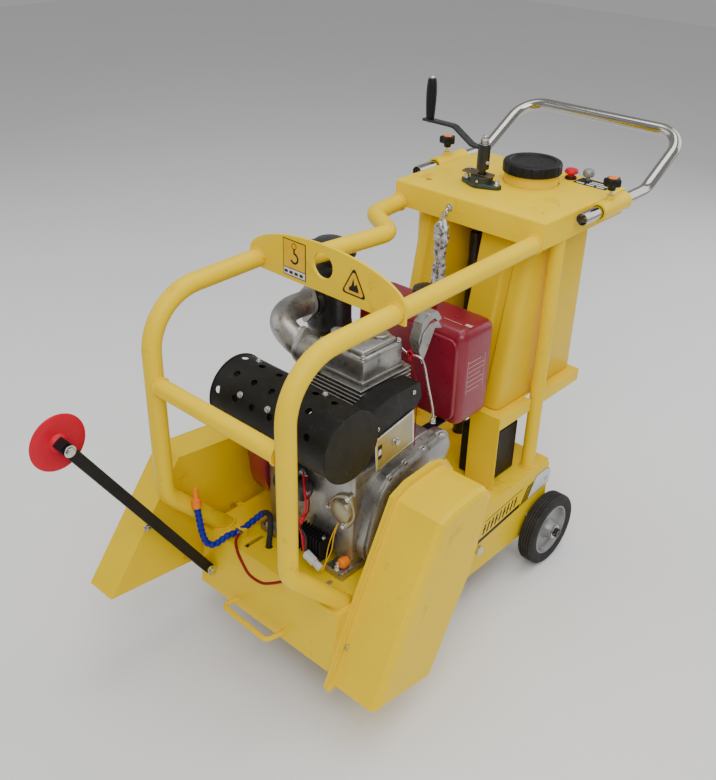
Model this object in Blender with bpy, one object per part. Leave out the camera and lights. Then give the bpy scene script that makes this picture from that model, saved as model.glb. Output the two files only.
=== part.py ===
"""Walk-behind concrete saw: an assembly of separate parts, in metres, +Z up.

+Y points from the front of the machine to the operator, +X to the belt side and
-X to the blade side. Shapes are written in the machine's own frame: x = 0 is the
centre plane, y = 0 the plane of the cage's front uprights and z = 0 the ground.
The empty "machine" then moves everything so that the origin is the centre of the
footprint of the whole saw.
"""
import math

import bmesh
import bpy
from mathutils import Vector

# Driving dimensions
GAP = 0.0003                      # clearance between touching parts
ORIGIN_SHIFT = (-0.021, -0.5297, 0.0)
SHEET = 0.004                     # chassis plate

CAGE_X = 0.19                     # cage tubes, either side of the centre plane
TUBE_R = 0.020
CROSSBAR_Z = 0.735
CAGE_TOP_FRONT_Z = 0.919
CAGE_TOP_REAR_Z = 0.932
UPRIGHT_Y = 0.851                 # rear uprights
UPRIGHT_R = 0.0175

DECK_Z = 0.296
CHASSIS_X = 0.215
CHASSIS_FRONT_Y = 0.115
CHASSIS_REAR_Y = 0.920
CHASSIS_LOW_Z = 0.100
APRON_FOOT = (0.095, 0.142)       # y, z of the apron's lower edge

CONSOLE_X = 0.212
CONSOLE_FRONT_Y = 0.752
CONSOLE_REAR_Y = 1.100
CONSOLE_TOP_Z = 0.985
CONSOLE_LIP_Z = 0.923

SHAFT = (0.185, 0.190)            # y, z of the blade shaft
SHAFT_R = 0.0125
CRANK = (0.355, 0.450)            # y, z of the engine crankshaft
CRANK_R = 0.0125
DRIVE_PULLEY_R = 0.042
DRIVEN_PULLEY_R = 0.056
GROOVE_X = (0.262, 0.288)         # the two belt grooves
COVER_IN_X = 0.2285
COVER = [(0.086, 0.130), (0.272, 0.098), (0.393, 0.320), (0.445, 0.500), (0.425, 0.528), (0.395, 0.536),
         (0.310, 0.532), (0.272, 0.518), (0.173, 0.321)]          # y, z outline of the belt cover
BELT_WIDTH = 0.013
BELT_THICK = 0.008

GUARD_IN_X = -0.228
GUARD_OUT_X = -0.308
GUARD_TILT = math.radians(-6.7)   # nose up
GUARD_SLOT_R = 0.108
GUARD_SLOT_MIDDLE = math.radians(64)

SCREW = (-0.040, 0.862)           # x, y of the lift screw
SCREW_R = 0.010
LIFT_TUBE_R = 0.0165
SWING_PIVOT = (0.620, 0.170)      # y, z
REAR_AXLE = (0.895, 0.100)
SWING_BAR = (0.862, 0.128)        # the cross bar that the lift tube pushes on
REAR_WHEEL_R = 0.100
REAR_WHEEL_X = (0.222, 0.266)
FRONT_AXLE = (0.300, 0.075)
FRONT_WHEEL_R = 0.075

MUFFLER = (0.165, 0.683)          # y, z
ARM_PIVOT = (0.087, 0.210)        # y, z
ARM_TIP = (-0.220, 0.692)
ARM_X = (-0.192, -0.168)
GUIDE_WHEEL_R = 0.060

HANDLE_X = 0.235
HANDLE_Z = 0.972
HANDLE_R = 0.015
CLAMP_Y = (0.930, 1.050)
KNOB_Y = 0.980
NECK = (0.025, 0.975)             # x, y of the tank's filler neck
NECK_R = 0.066
STOP_BUTTON = (0.082, 1.062)      # x, y
THROTTLE = (0.120, 1.078)

HOSE_R = 0.008
OIL_CAP = (0.136, 0.3330)
INTAKE_PORT = (0.290, 0.757)
HOSE_ROUTE = [(-0.052, 0.1680, 0.2870), (-0.0530, 0.1690, 0.3050), (-0.062, 0.1830, 0.3300),
              (-0.082, 0.2000, 0.3480), (-0.104, 0.2020, 0.3440), (-0.118, 0.1820, 0.3260),
              (-0.126, 0.150, 0.3110),
              (-0.136, 0.118, 0.3080), (-0.144, 0.088, 0.2970), (-0.150, 0.070, 0.3080),
              (-0.155, 0.062, 0.3380), (-0.159, 0.060, 0.3750), (-0.162, 0.058, 0.4120)]
HOSE_CLIP_AT = HOSE_ROUTE[6]
FEED_ROUTE = [(-0.1152, 0.1412, 0.3165), (-0.113, 0.1320, 0.3165), (-0.104, 0.1150, 0.3120),
              (-0.084, 0.1020, 0.3020), (-0.060, 0.094, 0.290), (-0.030, 0.088, 0.276),
              (0.010, 0.088, 0.277), (0.040, 0.094, 0.291), (0.066, 0.104, 0.3055),
              (0.094, 0.122, 0.3080), (0.116, 0.140, 0.3085), (0.1280, 0.1510, 0.3040),
              (0.130, 0.155, 0.2950), (0.130, 0.156, 0.2860)]

YELLOW = (0.86, 0.62, 0.0)
BLACK = (0.015, 0.015, 0.015)
STEEL = (0.55, 0.55, 0.55)
CAST = (0.50, 0.50, 0.50)
RED = (0.30, 0.012, 0.03)
RUBBER = (0.03, 0.03, 0.032)


# ---------------------------------------------------------------- scene helpers

def clear_scene():
    for obj in list(bpy.data.objects):
        bpy.data.objects.remove(obj)


def add_machine():
    empty = bpy.data.objects.new("machine", None)
    bpy.context.scene.collection.objects.link(empty)
    empty.location = ORIGIN_SHIFT
    return empty


clear_scene()
MACHINE = add_machine()


def paint(name, colour, roughness=0.5, metallic=0.0):
    mat = bpy.data.materials.new(name + "_material")
    mat.use_nodes = True
    shader = mat.node_tree.nodes["Principled BSDF"]
    shader.inputs["Base Color"].default_value = (*colour, 1.0)
    shader.inputs["Roughness"].default_value = roughness
    shader.inputs["Metallic"].default_value = metallic
    return mat


def link_mesh(name, bm, pivot):
    bmesh.ops.recalc_face_normals(bm, faces=bm.faces)
    bmesh.ops.translate(bm, verts=bm.verts, vec=-Vector(pivot))
    mesh = bpy.data.meshes.new(name)
    bm.to_mesh(mesh)
    bm.free()
    obj = bpy.data.objects.new(name, mesh)
    bpy.context.scene.collection.objects.link(obj)
    obj.parent = MACHINE
    obj.location = pivot
    return obj


def part(name, bm, colour, roughness=0.5, metallic=0.0, pivot=(0.0, 0.0, 0.0)):
    obj = link_mesh(name, bm, pivot)
    obj.data.materials.append(paint(name, colour, roughness, metallic))
    obj.data.shade_smooth()
    obj.data.set_sharp_from_angle(angle=math.radians(35))
    return obj


def combine(obj, bm, operation):
    count = sum(1 for m in obj.modifiers if m.type == "BOOLEAN")
    tool = link_mesh("tool_%s_%d" % (obj.name, count + 1), bm, (0.0, 0.0, 0.0))
    tool.hide_render = True
    tool.display_type = "WIRE"
    mod = obj.modifiers.new("shape", "BOOLEAN")
    mod.operation = operation
    mod.solver = "EXACT"
    mod.object = tool
    return obj


def cut(obj, bm):
    return combine(obj, bm, "DIFFERENCE")


def join(obj, bm):
    return combine(obj, bm, "UNION")


# ---------------------------------------------------------------- shape helpers

def place(axis, t, a, b):
    """A point at t along the axis and (a, b) on the other two, in X, Y, Z order."""
    return {"x": Vector((t, a, b)), "y": Vector((a, t, b)), "z": Vector((a, b, t))}[axis]


def loft(rings):
    bm = bmesh.new()
    loops = [[bm.verts.new(p) for p in ring] for ring in rings]
    count = len(loops[0])
    for low, high in zip(loops, loops[1:]):
        for i in range(count):
            j = (i + 1) % count
            bm.faces.new((low[i], low[j], high[j], high[i]))
    bm.faces.new(loops[0][::-1])
    bm.faces.new(loops[-1])
    return bm


def prism(outline, axis, low, high):
    return loft([[place(axis, t, a, b) for a, b in outline] for t in (low, high)])


def box(low, high, bevel=0.0, segments=2):
    (x0, y0, z0), (x1, y1, z1) = low, high
    bm = prism([(x0, y0), (x1, y0), (x1, y1), (x0, y1)], "z", z0, z1)
    if bevel:
        round_edges(bm, list(bm.edges), bevel, segments)
    return bm


def round_edges(bm, edges, width, segments=2):
    bmesh.ops.recalc_face_normals(bm, faces=bm.faces)
    bmesh.ops.bevel(bm, geom=edges, offset=width, segments=segments,
                    affect="EDGES", profile=0.5, clamp_overlap=True)
    return bm


def edges_at(bm, axis, value):
    k = "xyz".index(axis)
    return [e for e in bm.edges if all(abs(v.co[k] - value) < 1e-6 for v in e.verts)]


def circle(centre, radius, sides, start=0.0, turn=math.tau):
    step = turn / sides
    return [(centre[0] + radius * math.cos(start + i * step),
             centre[1] + radius * math.sin(start + i * step)) for i in range(sides)]


def arc(centre, radius, start, end, steps):
    step = (end - start) / steps
    return [(centre[0] + radius * math.cos(start + i * step),
             centre[1] + radius * math.sin(start + i * step)) for i in range(steps + 1)]


def rod(axis, centre, radius, low, high, sides=16):
    return prism(circle(centre, radius, sides, math.pi / sides), axis, low, high)


def turned(profile, axis, centre, sides=24):
    """Spin (radius, t) points about an axis; a closed ring unless it ends at radius 0.

    A ring has a corner at each quarter turn, so a wheel touches the ground at its full radius.
    """
    bm = bmesh.new()
    loops = []
    for radius, t in profile:
        if radius == 0.0:
            loops.append([bm.verts.new(place(axis, t, *centre))])
        else:
            ring = circle(centre, radius, sides)
            loops.append([bm.verts.new(place(axis, t, a, b)) for a, b in ring])
    pairs = list(zip(loops, loops[1:]))
    if len(loops[0]) > 1 and len(loops[-1]) > 1:
        pairs.append((loops[-1], loops[0]))
    for low, high in pairs:
        for i in range(sides):
            j = (i + 1) % sides
            if len(low) == 1:
                bm.faces.new((low[0], high[j], high[i]))
            elif len(high) == 1:
                bm.faces.new((low[i], low[j], high[0]))
            else:
                bm.faces.new((low[i], low[j], high[j], high[i]))
    return bm


def bent_path(corners, radius, steps=4):
    """Round each inner corner of a path with an arc."""
    corners = [Vector(c) for c in corners]
    path = [corners[0]]
    for before, corner, after in zip(corners, corners[1:], corners[2:]):
        back = (before - corner).normalized()
        ahead = (after - corner).normalized()
        half = back.angle(ahead) / 2
        reach = radius / math.tan(half)
        centre = corner + (back + ahead).normalized() * (radius / math.sin(half))
        first = corner + back * reach - centre
        last = corner + ahead * reach - centre
        for i in range(steps + 1):
            path.append(centre + first.slerp(last, i / steps, first).normalized() * radius)
    path.append(corners[-1])
    return path


def smooth_path(points, steps=6):
    """A smooth curve through the points (Catmull-Rom)."""
    points = [Vector(p) for p in points]
    ends = [2 * points[0] - points[1]] + points + [2 * points[-1] - points[-2]]
    path = []
    for a, b, c, d in zip(ends, ends[1:], ends[2:], ends[3:]):
        for i in range(steps):
            t = i / steps
            path.append(0.5 * (2 * b + (c - a) * t + (2 * a - 5 * b + 4 * c - d) * t * t
                               + (3 * b - a - 3 * c + d) * t ** 3))
    path.append(points[-1])
    return path


def swept(path, radius, sides=12):
    rings = []
    ahead = (path[1] - path[0]).normalized()
    side = ahead.orthogonal().normalized()
    for i, point in enumerate(path):
        into = (point - path[max(i - 1, 0)]).normalized() if i else ahead
        out = (path[min(i + 1, len(path) - 1)] - point).normalized() if i < len(path) - 1 else into
        along = (into + out).normalized()
        side = (side - along * side.dot(along)).normalized()
        other = along.cross(side)
        stretch = 1.0 / max(into.dot(along), 0.7)
        bend = out - into
        normal = bend.normalized() if bend.length > 1e-6 else None
        ring = []
        for k in range(sides):
            angle = math.tau * k / sides
            offset = (side * math.cos(angle) + other * math.sin(angle)) * radius
            if normal is not None:
                offset += normal * offset.dot(normal) * (stretch - 1.0)
            ring.append(point + offset)
        rings.append(ring)
    return loft(rings)


def grow(outline, distance):
    """Move every side of a counter-clockwise outline outwards by a distance."""
    points = [Vector(p) for p in outline]
    result = []
    for i, point in enumerate(points):
        into = (point - points[i - 1]).normalized()
        out = (points[(i + 1) % len(points)] - point).normalized()
        n1 = Vector((into.y, -into.x))
        n2 = Vector((out.y, -out.x))
        result.append(tuple(point + (n1 + n2) * (distance / (1.0 + n1.dot(n2)))))
    return result


def hull(points):
    """Counter-clockwise convex outline round a set of points."""
    points = sorted(set(points))

    def half(sequence):
        chain = []
        for p in sequence:
            while len(chain) > 1 and ((chain[-1][0] - chain[-2][0]) * (p[1] - chain[-2][1])
                                      - (chain[-1][1] - chain[-2][1]) * (p[0] - chain[-2][0])) <= 1e-12:
                chain.pop()
            chain.append(p)
        return chain[:-1]

    return half(points) + half(points[::-1])


def turn_about(centre, angle, points):
    c, s = math.cos(angle), math.sin(angle)
    return [(centre[0] + y * c - z * s, centre[1] + y * s + z * c) for y, z in points]


# ---------------------------------------------------------------- chassis

def side_plates():
    corner = arc((CHASSIS_REAR_Y - 0.02, DECK_Z - 0.02), 0.02, 0.0, math.pi / 2, 4)
    outline = [APRON_FOOT, (0.20, CHASSIS_LOW_Z), (0.865, CHASSIS_LOW_Z), (0.865, 0.135),
               (CHASSIS_REAR_Y, 0.135)] + corner + [(CHASSIS_FRONT_Y, DECK_Z)]
    plates = []
    for side, x0 in (("left", -CHASSIS_X), ("right", CHASSIS_X - SHEET)):
        plate = part("side_plate_" + side, prism(outline, "x", x0, x0 + SHEET), YELLOW, 0.35)
        cut(plate, rod("x", SWING_PIVOT, 0.0088, x0 - 0.01, x0 + 0.01 + SHEET, 12))
        plates.append(plate)
    left, right = plates

    join(left, rod("x", SHAFT, 0.034, -0.2335, -CHASSIS_X + 0.001, 20))
    cut(left, rod("x", SHAFT, 0.018, -0.25, -0.20))
    middle = GUARD_SLOT_MIDDLE
    bolt_at = (SHAFT[0] + GUARD_SLOT_R * math.cos(middle), SHAFT[1] + GUARD_SLOT_R * math.sin(middle))
    join(left, rod("x", bolt_at, 0.004, -0.240, -CHASSIS_X + 0.001, 8))
    join(left, rod("x", bolt_at, 0.010, -0.2262, -CHASSIS_X + 0.001, 6))

    join(right, prism(grow(COVER, 0.010), "x", CHASSIS_X - 0.0005, COVER_IN_X - GAP))
    for centre in (SHAFT, CRANK):
        cut(right, rod("x", centre, 0.030, 0.20, 0.24))


def chassis_sheet():
    inner_x = CHASSIS_X - SHEET - GAP
    y_foot, z_foot = APRON_FOOT
    front, rear = CHASSIS_FRONT_Y, CHASSIS_REAR_Y - GAP
    profile = [(y_foot, z_foot), (y_foot + SHEET, z_foot), (front + SHEET, DECK_Z - SHEET),
               (rear - SHEET, DECK_Z - SHEET), (rear - SHEET, 0.140), (rear, 0.140), (rear, DECK_Z),
               (front, DECK_Z)]
    sheet = part("chassis_sheet", prism(profile, "x", -inner_x, inner_x), YELLOW, 0.35)
    cut(sheet, rod("z", SCREW, 0.020, DECK_Z - 0.02, DECK_Z + 0.02))
    for x in (-0.09, 0.13):
        for y0 in (0.130, 0.530):
            cut(sheet, box((x - 0.006, y0, DECK_Z - 0.02), (x + 0.006, y0 + 0.055, DECK_Z + 0.02)))

    py, pz = ARM_PIVOT
    lug = [(apron_y(0.188) + 0.002, 0.188), (apron_y(0.236) + 0.002, 0.236), (py, pz + 0.016),
           (py - 0.014, pz), (py, pz - 0.016)]
    x1 = ARM_X[0] - GAP
    join(sheet, prism(lug, "x", x1 - 0.004, x1))
    join(sheet, rod("x", ARM_PIVOT, 0.0052, x1 - 0.003, ARM_X[1] + 0.004, 12))
    join(sheet, rod("x", ARM_PIVOT, 0.0095, ARM_X[1] + GAP, ARM_X[1] + 0.007, 6))

    x, y = HOSE_CLIP_AT[:2]
    join(sheet, box((x - 0.014, y - 0.007, DECK_Z - 0.001), (x + 0.014, y + 0.007, DECK_Z + 0.024)))
    cut(sheet, swept(smooth_path(HOSE_ROUTE[5:8], 2), HOSE_R + 0.0012, 10))
    cut(sheet, rod("z", HOSE_ROUTE[0][:2], HOSE_R + 0.0015, DECK_Z - 0.02, DECK_Z + 0.02, 12))


def apron_y(z):
    """Where the apron's outer face is at a height z."""
    slope = (CHASSIS_FRONT_Y - APRON_FOOT[0]) / (DECK_Z - APRON_FOOT[1])
    return APRON_FOOT[0] + slope * (z - APRON_FOOT[1])


def pull_handle():
    path = bent_path([(-0.088, 0.1060, 0.160), (-0.096, 0.060, 0.160),
                      (0.055, 0.055, 0.160), (0.066, 0.1010, 0.160)], 0.014, 3)
    bar = part("pull_handle", swept(path, 0.006, 8), YELLOW, 0.35)
    face = [(apron_y(z) - GAP, z) for z in (0.13, 0.20)]
    cut(bar, prism([face[0], (0.2, 0.13), (0.2, 0.20), face[1]], "x", -0.2, 0.2))


# ---------------------------------------------------------------- cage

def trim_foot(obj, x):
    cut(obj, box((x - 0.05, 0.05, 0.20), (x + 0.05, 0.30, DECK_Z + GAP)))


def cage():
    end_y = CONSOLE_FRONT_Y - GAP
    foot = (0.185, 0.262)
    knee_z = 0.460
    x = CAGE_X
    right = [(x, *foot), (x, 0.0, knee_z), (x, 0.0, CAGE_TOP_FRONT_Z), (x, end_y, CAGE_TOP_REAR_Z)]
    low = bent_path(right[:3], 0.070, 4)[:-1]
    high = bent_path(right[1:], 0.120, 5)[1:]
    tube = part("cage_tube_right", swept(low + high, TUBE_R), YELLOW, 0.3)
    trim_foot(tube, x)
    cut(tube, box((0.15, end_y, 0.88), (0.25, end_y + 0.05, 0.98)))

    rise = (CAGE_TOP_REAR_Z - CAGE_TOP_FRONT_Z) / end_y
    jog = [(-x, 0.325), (-0.115, 0.372), (-0.082, 0.585), (-0.186, 0.648), (-0.196, end_y)]
    jog = [(jx, jy, CAGE_TOP_FRONT_Z + rise * jy) for jx, jy in jog]
    low = bent_path([(-x, *foot), (-x, 0.0, knee_z), (-x, 0.0, CAGE_TOP_FRONT_Z)], 0.070, 4)[:-1]
    top = bent_path([(-x, 0.0, knee_z), (-x, 0.0, CAGE_TOP_FRONT_Z), jog[0]], 0.120, 5)[1:-1]
    back = bent_path([(-x, 0.0, CAGE_TOP_FRONT_Z)] + jog, 0.034, 3)[1:]
    tube = part("cage_tube_left", swept(low + top + back, TUBE_R), YELLOW, 0.3)
    trim_foot(tube, -x)

    cut(tube, box((-0.25, end_y, 0.88), (-0.14, end_y + 0.05, 0.98)))
    join(tube, rod("x", (0.0, CROSSBAR_Z), TUBE_R - 0.001, -x, x - TUBE_R - GAP, 12))
    for side, ux in (("left", -CAGE_X), ("right", CAGE_X)):
        upright = rod("z", (ux, UPRIGHT_Y), UPRIGHT_R, DECK_Z + GAP, CONSOLE_TOP_Z - SHEET - GAP, 12)
        part("rear_upright_" + side, upright, YELLOW, 0.3)


def lifting_plate():
    y0, y1 = 0.286, 0.292
    half, low_z, ends_z, crown = 0.214, 0.904, 0.938, 0.068
    top = [(half * math.cos(a), ends_z + crown * math.sin(a))
           for a in [math.pi * i / 14 for i in range(15)]]
    plate = part("lifting_plate", prism([(-half, low_z), (half, low_z)] + top, "y", y0, y1), YELLOW, 0.3)
    cut(plate, rod("y", (0.0, 0.962), 0.027, y0 - 0.01, y1 + 0.01, 20))
    tube_z = CAGE_TOP_FRONT_Z + (CAGE_TOP_REAR_Z - CAGE_TOP_FRONT_Z) * y0 / CONSOLE_FRONT_Y
    for x in (-CAGE_X, CAGE_X):
        cut(plate, rod("y", (x, tube_z), TUBE_R + 0.0012, y0 - 0.01, y1 + 0.01, 16))


# ---------------------------------------------------------------- shelf, battery, tank

def tank_shelf():
    low_z, top_z, half = 0.472, 0.5047, 0.190
    front_y, back_y, wall = 0.695, 1.050, 0.003
    notch_x, notch = CAGE_X - TUBE_R - 0.002, (UPRIGHT_Y - 0.023, UPRIGHT_Y + 0.023)
    right = [(half, front_y), (half, notch[0]), (notch_x, notch[0]), (notch_x, notch[1]),
             (half, notch[1]), (half, back_y)]
    outline = right + [(-x, y) for x, y in right[::-1]]
    shelf = part("tank_shelf", prism(outline, "z", low_z, top_z), YELLOW, 0.35)
    cut(shelf, box((-half + wall, front_y + wall, low_z - 0.01),
                   (half - wall, back_y - wall, top_z - wall)))
    cut(shelf, rod("z", SCREW, 0.0195, low_z, top_z + 0.01))
    for x0, x1 in ((-half, -0.105), (0.105, half)):
        join(shelf, box((x0, front_y, DECK_Z + GAP), (x1, front_y + wall, top_z)))


def battery():
    case = part("battery", box((0.070, 0.712, DECK_Z + GAP), (0.165, 0.822, 0.440), 0.004, 1), BLACK, 0.5)
    for x in (0.090, 0.145):
        join(case, rod("z", (x, 0.735), 0.007, 0.430, 0.452, 8))


def water_tank():
    half, wall, low_z, top_z = 0.165, 0.004, 0.5052, 0.916
    back_y, front_low, front_high = 1.045, 0.716, 0.795
    slot = (SCREW[0] - 0.030, SCREW[0] + 0.062, 0.895)

    def plan(front, inset):
        h, b = half - inset, back_y - inset
        s0, s1, s2 = slot[0] - inset, slot[1] + inset, slot[2] + inset
        f = front + inset
        return [(-h, f), (s0, f), (s0, s2), (s1, s2), (s1, f), (h, f), (h, b), (-h, b)]

    def body(inset, z0, z1):
        bm = loft([[Vector((x, y, z0)) for x, y in plan(front_low, inset)],
                   [Vector((x, y, z1)) for x, y in plan(front_high, inset)]])
        corners = [e for e in bm.edges if abs(e.verts[0].co.z - e.verts[1].co.z) > 0.1]
        outer = [e for e in corners if abs(abs(e.verts[0].co.x) - half + inset) < 1e-4]
        return round_edges(bm, outer, 0.022 - inset, 3)

    tank = part("water_tank", body(0.0, low_z, top_z), YELLOW, 0.45)
    join(tank, rod("z", NECK, NECK_R, top_z - 0.03, 1.010, 20))
    cut(tank, body(wall, low_z + wall, top_z - wall))
    cut(tank, rod("z", NECK, NECK_R - wall, top_z - 0.02, 1.030, 20))

    rings = []
    for z, radius in ((1.0103, 0.071), (1.031, 0.071), (1.036, 0.066)):
        ring = []
        for i in range(32):
            r = radius - (0.0025 if i % 2 and radius > 0.07 else 0.0)
            a = math.tau * i / 32
            ring.append(Vector((NECK[0] + r * math.cos(a), NECK[1] + r * math.sin(a), z)))
        rings.append(ring)
    part("water_cap", loft(rings), BLACK, 0.4, pivot=(*NECK, 1.0103))


# ---------------------------------------------------------------- console and handle

def console():
    bm = box((-CONSOLE_X, CONSOLE_FRONT_Y, CONSOLE_LIP_Z), (CONSOLE_X, CONSOLE_REAR_Y, CONSOLE_TOP_Z))
    keep = set(edges_at(bm, "z", CONSOLE_LIP_Z))
    round_edges(bm, [e for e in bm.edges if e not in keep], 0.006, 1)
    tray = part("console", bm, YELLOW, 0.3)
    cut(tray, box((-CONSOLE_X + SHEET, CONSOLE_FRONT_Y + SHEET, CONSOLE_LIP_Z - 0.01),
                  (CONSOLE_X - SHEET, CONSOLE_REAR_Y - SHEET, CONSOLE_TOP_Z - SHEET)))
    z0, z1 = CONSOLE_TOP_Z - 0.02, CONSOLE_TOP_Z + 0.01
    cut(tray, rod("z", NECK, NECK_R + 0.002, z0, z1, 20))
    cut(tray, rod("z", SCREW, SCREW_R + 0.003, z0, z1, 12))
    for centre, radius in (((-0.154, 0.807), 0.008), ((0.170, 0.804), 0.004), ((0.166, 0.875), 0.004),
                           (STOP_BUTTON, 0.0085), (THROTTLE, 0.0055)):
        cut(tray, rod("z", centre, radius, z0, z1, 10))
    handle_clamps(tray)


def controls():
    z = CONSOLE_TOP_Z
    profile = [(0.0, z - 0.015), (0.008, z - 0.015), (0.008, z + 0.013), (0.017, z + 0.014),
               (0.017, z + 0.020), (0.010, z + 0.025), (0.0, z + 0.026)]
    part("stop_button", turned(profile, "z", STOP_BUTTON, 16), (0.5, 0.02, 0.01), 0.35,
         pivot=(*STOP_BUTTON, z))
    profile = [(0.0, z - 0.030), (0.005, z - 0.030), (0.005, z + 0.010), (0.013, z + 0.012),
               (0.014, z + 0.022), (0.009, z + 0.028), (0.0, z + 0.029)]
    part("throttle_knob", turned(profile, "z", THROTTLE, 16), (0.12, 0.13, 0.13), 0.45,
         pivot=(*THROTTLE, z))


def push_handle():
    corners = []
    for x in (-HANDLE_X, HANDLE_X):
        leg = [(x, 0.862, HANDLE_Z), (x, 1.150, HANDLE_Z), (x, 1.325, 1.074)]
        corners += leg if x < 0 else leg[::-1]
    path = bent_path(corners, 0.070, 4)
    bar = part("push_handle", swept(path, HANDLE_R, 10), (0.8, 0.8, 0.8), 0.08, 1.0)
    for x in (-HANDLE_X, HANDLE_X):
        cut(bar, rod("y", (x, HANDLE_Z), HANDLE_R - 0.002, 0.85, 0.90, 12))

    for side, x in (("left", -HANDLE_X), ("right", HANDLE_X)):
        star_knob("clamp_knob_" + side, x, HANDLE_Z + 0.028 + GAP)


def handle_clamps(tray):
    """Two sleeves welded to the console's sides, each with a boss for its clamp knob."""
    outer, inner = 0.0210, 0.0162
    for x in (-HANDLE_X, HANDLE_X):
        join(tray, rod("y", (x, HANDLE_Z), outer, *CLAMP_Y, 16))
        weld_x = math.copysign(CONSOLE_X - 0.002, x)
        join(tray, box((min(x, weld_x), CLAMP_Y[0] + 0.01, HANDLE_Z - 0.012),
                       (max(x, weld_x), CLAMP_Y[1] - 0.01, HANDLE_Z - 0.004)))
        join(tray, rod("z", (x, KNOB_Y), 0.009, HANDLE_Z + 0.018, HANDLE_Z + 0.028, 12))
        cut(tray, rod("y", (x, HANDLE_Z), inner, CLAMP_Y[0] - 0.01, CLAMP_Y[1] + 0.01, 16))


def star_knob(name, x, z):
    count = 20

    def ring(radius, lobe, height):
        points = []
        for i in range(count):
            a = math.tau * i / count
            r = radius + lobe * math.cos(5 * a)
            points.append(Vector((x + r * math.cos(a), KNOB_Y + r * math.sin(a), z + height)))
        return points

    rings = [ring(0.004, 0.0, 0.0), ring(0.004, 0.0, 0.010), ring(0.009, 0.0, 0.011),
             ring(0.010, 0.0, 0.020), ring(0.0180, 0.003, 0.022), ring(0.0180, 0.003, 0.038),
             ring(0.0120, 0.0, 0.042)]
    part(name, loft(rings), BLACK, 0.4, pivot=(x, KNOB_Y, z))


# ---------------------------------------------------------------- depth screw

def depth_screw():
    z = CONSOLE_TOP_Z
    base = [(SCREW[0] + x, SCREW[1] + y) for x, y in
            hull(circle((0.0, 0.0), 0.031, 20) + circle((-0.043, 0.0), 0.012, 12)
                 + circle((0.043, 0.0), 0.012, 12))]
    bearing = part("screw_bearing", prism(base, "z", z + GAP, z + 0.010), (0.05, 0.08, 0.07), 0.5, 0.3)
    join(bearing, rod("z", SCREW, 0.027, z + 0.005, z + 0.026, 20))
    for x in (-0.043, 0.043):
        join(bearing, rod("z", (SCREW[0] + x, SCREW[1]), 0.008, z + 0.008, z + 0.018, 6))

    spring_plate = [(SCREW[0] - 0.050, SCREW[1] - 0.012), (SCREW[0] + 0.030, SCREW[1] - 0.012),
                    (SCREW[0] + 0.030, SCREW[1] + 0.014), (SCREW[0] - 0.050, SCREW[1] + 0.020)]
    join(bearing, prism(spring_plate, "z", z + 0.025, z + 0.0285))
    cut(bearing, rod("z", SCREW, SCREW_R + 0.0016, z - 0.01, z + 0.04, 20))

    screw = part("lift_screw", rod("z", SCREW, SCREW_R, 0.560, z + 0.112, 12), (0.03, 0.03, 0.03), 0.35,
                 0.6, pivot=(*SCREW, z))
    join(screw, rod("z", SCREW, 0.0095, z + 0.110, z + 0.118, 6))
    arm_z = z + 0.085
    sleeve = part("crank_arm", rod("z", SCREW, 0.015, z + 0.040, arm_z + 0.010, 16), BLACK, 0.45,
                  pivot=(*SCREW, z))
    bar = [(0.010, arm_z), (-0.030, arm_z), (-0.090, arm_z + 0.034), (-0.176, arm_z + 0.034)]
    bar = [(SCREW[0] + a, b) for a, b in bar]
    bar = bar + [(a, b + 0.006) for a, b in bar[::-1]]
    join(sleeve, prism(bar, "y", SCREW[1] - 0.010, SCREW[1] + 0.010))
    cut(sleeve, rod("z", SCREW, SCREW_R + GAP, z, z + 0.2, 12))
    grip = (SCREW[0] - 0.164, SCREW[1])
    z0 = arm_z + 0.040 + GAP
    cut(sleeve, rod("z", grip, 0.0045, arm_z, z0 + 0.01, 8))
    profile = [(0.0, z0 - 0.010), (0.0038, z0 - 0.010), (0.0038, z0), (0.009, z0), (0.0125, z0 + 0.030),
               (0.0125, z0 + 0.070), (0.010, z0 + 0.092), (0.004, z0 + 0.096), (0.0, z0 + 0.100)]
    part("crank_grip", turned(profile, "z", grip, 16), BLACK, 0.5, pivot=(*grip, z0))

    ring = [(SCREW_R + 0.0016, 0.205), (LIFT_TUBE_R, 0.205), (LIFT_TUBE_R, 0.868),
            (SCREW_R + 0.0016, 0.868)]
    tube = part("lift_tube", turned(ring, "z", SCREW, 16), BLACK, 0.4, pivot=(*SCREW, 0.205))
    pad_z = SWING_BAR[1] + 0.0165 + 0.0015
    join(tube, rod("z", SCREW, LIFT_TUBE_R + 0.004, pad_z, 0.210, 16))


# ---------------------------------------------------------------- running gear

def swing_axle():
    py, pz = SWING_PIVOT
    ay, az = REAR_AXLE
    pivot = (0.0, py, pz)
    axle = part("swing_axle", rod("x", REAR_AXLE, 0.0125, -0.2865, 0.2865, 12), BLACK, 0.45, pivot=pivot)
    link = hull(circle((py, pz), 0.020, 12) + circle((ay, az), 0.020, 12))
    for x in (-0.170, 0.160):
        join(axle, prism(link, "x", x, x + 0.010))
    join(axle, rod("x", SWING_BAR, 0.0165, -0.165, 0.165, 12))
    for x in (-0.170, 0.160):
        cut(axle, rod("x", SWING_PIVOT, 0.0088, x - 0.01, x + 0.02, 12))
    pin = part("swing_pivot_rod", rod("x", SWING_PIVOT, 0.008, -0.224, 0.224, 12), STEEL, 0.4, 1.0)
    for x in (-0.224, 0.2153):
        join(pin, rod("x", SWING_PIVOT, 0.013, x, x + 0.0087, 6))


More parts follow.
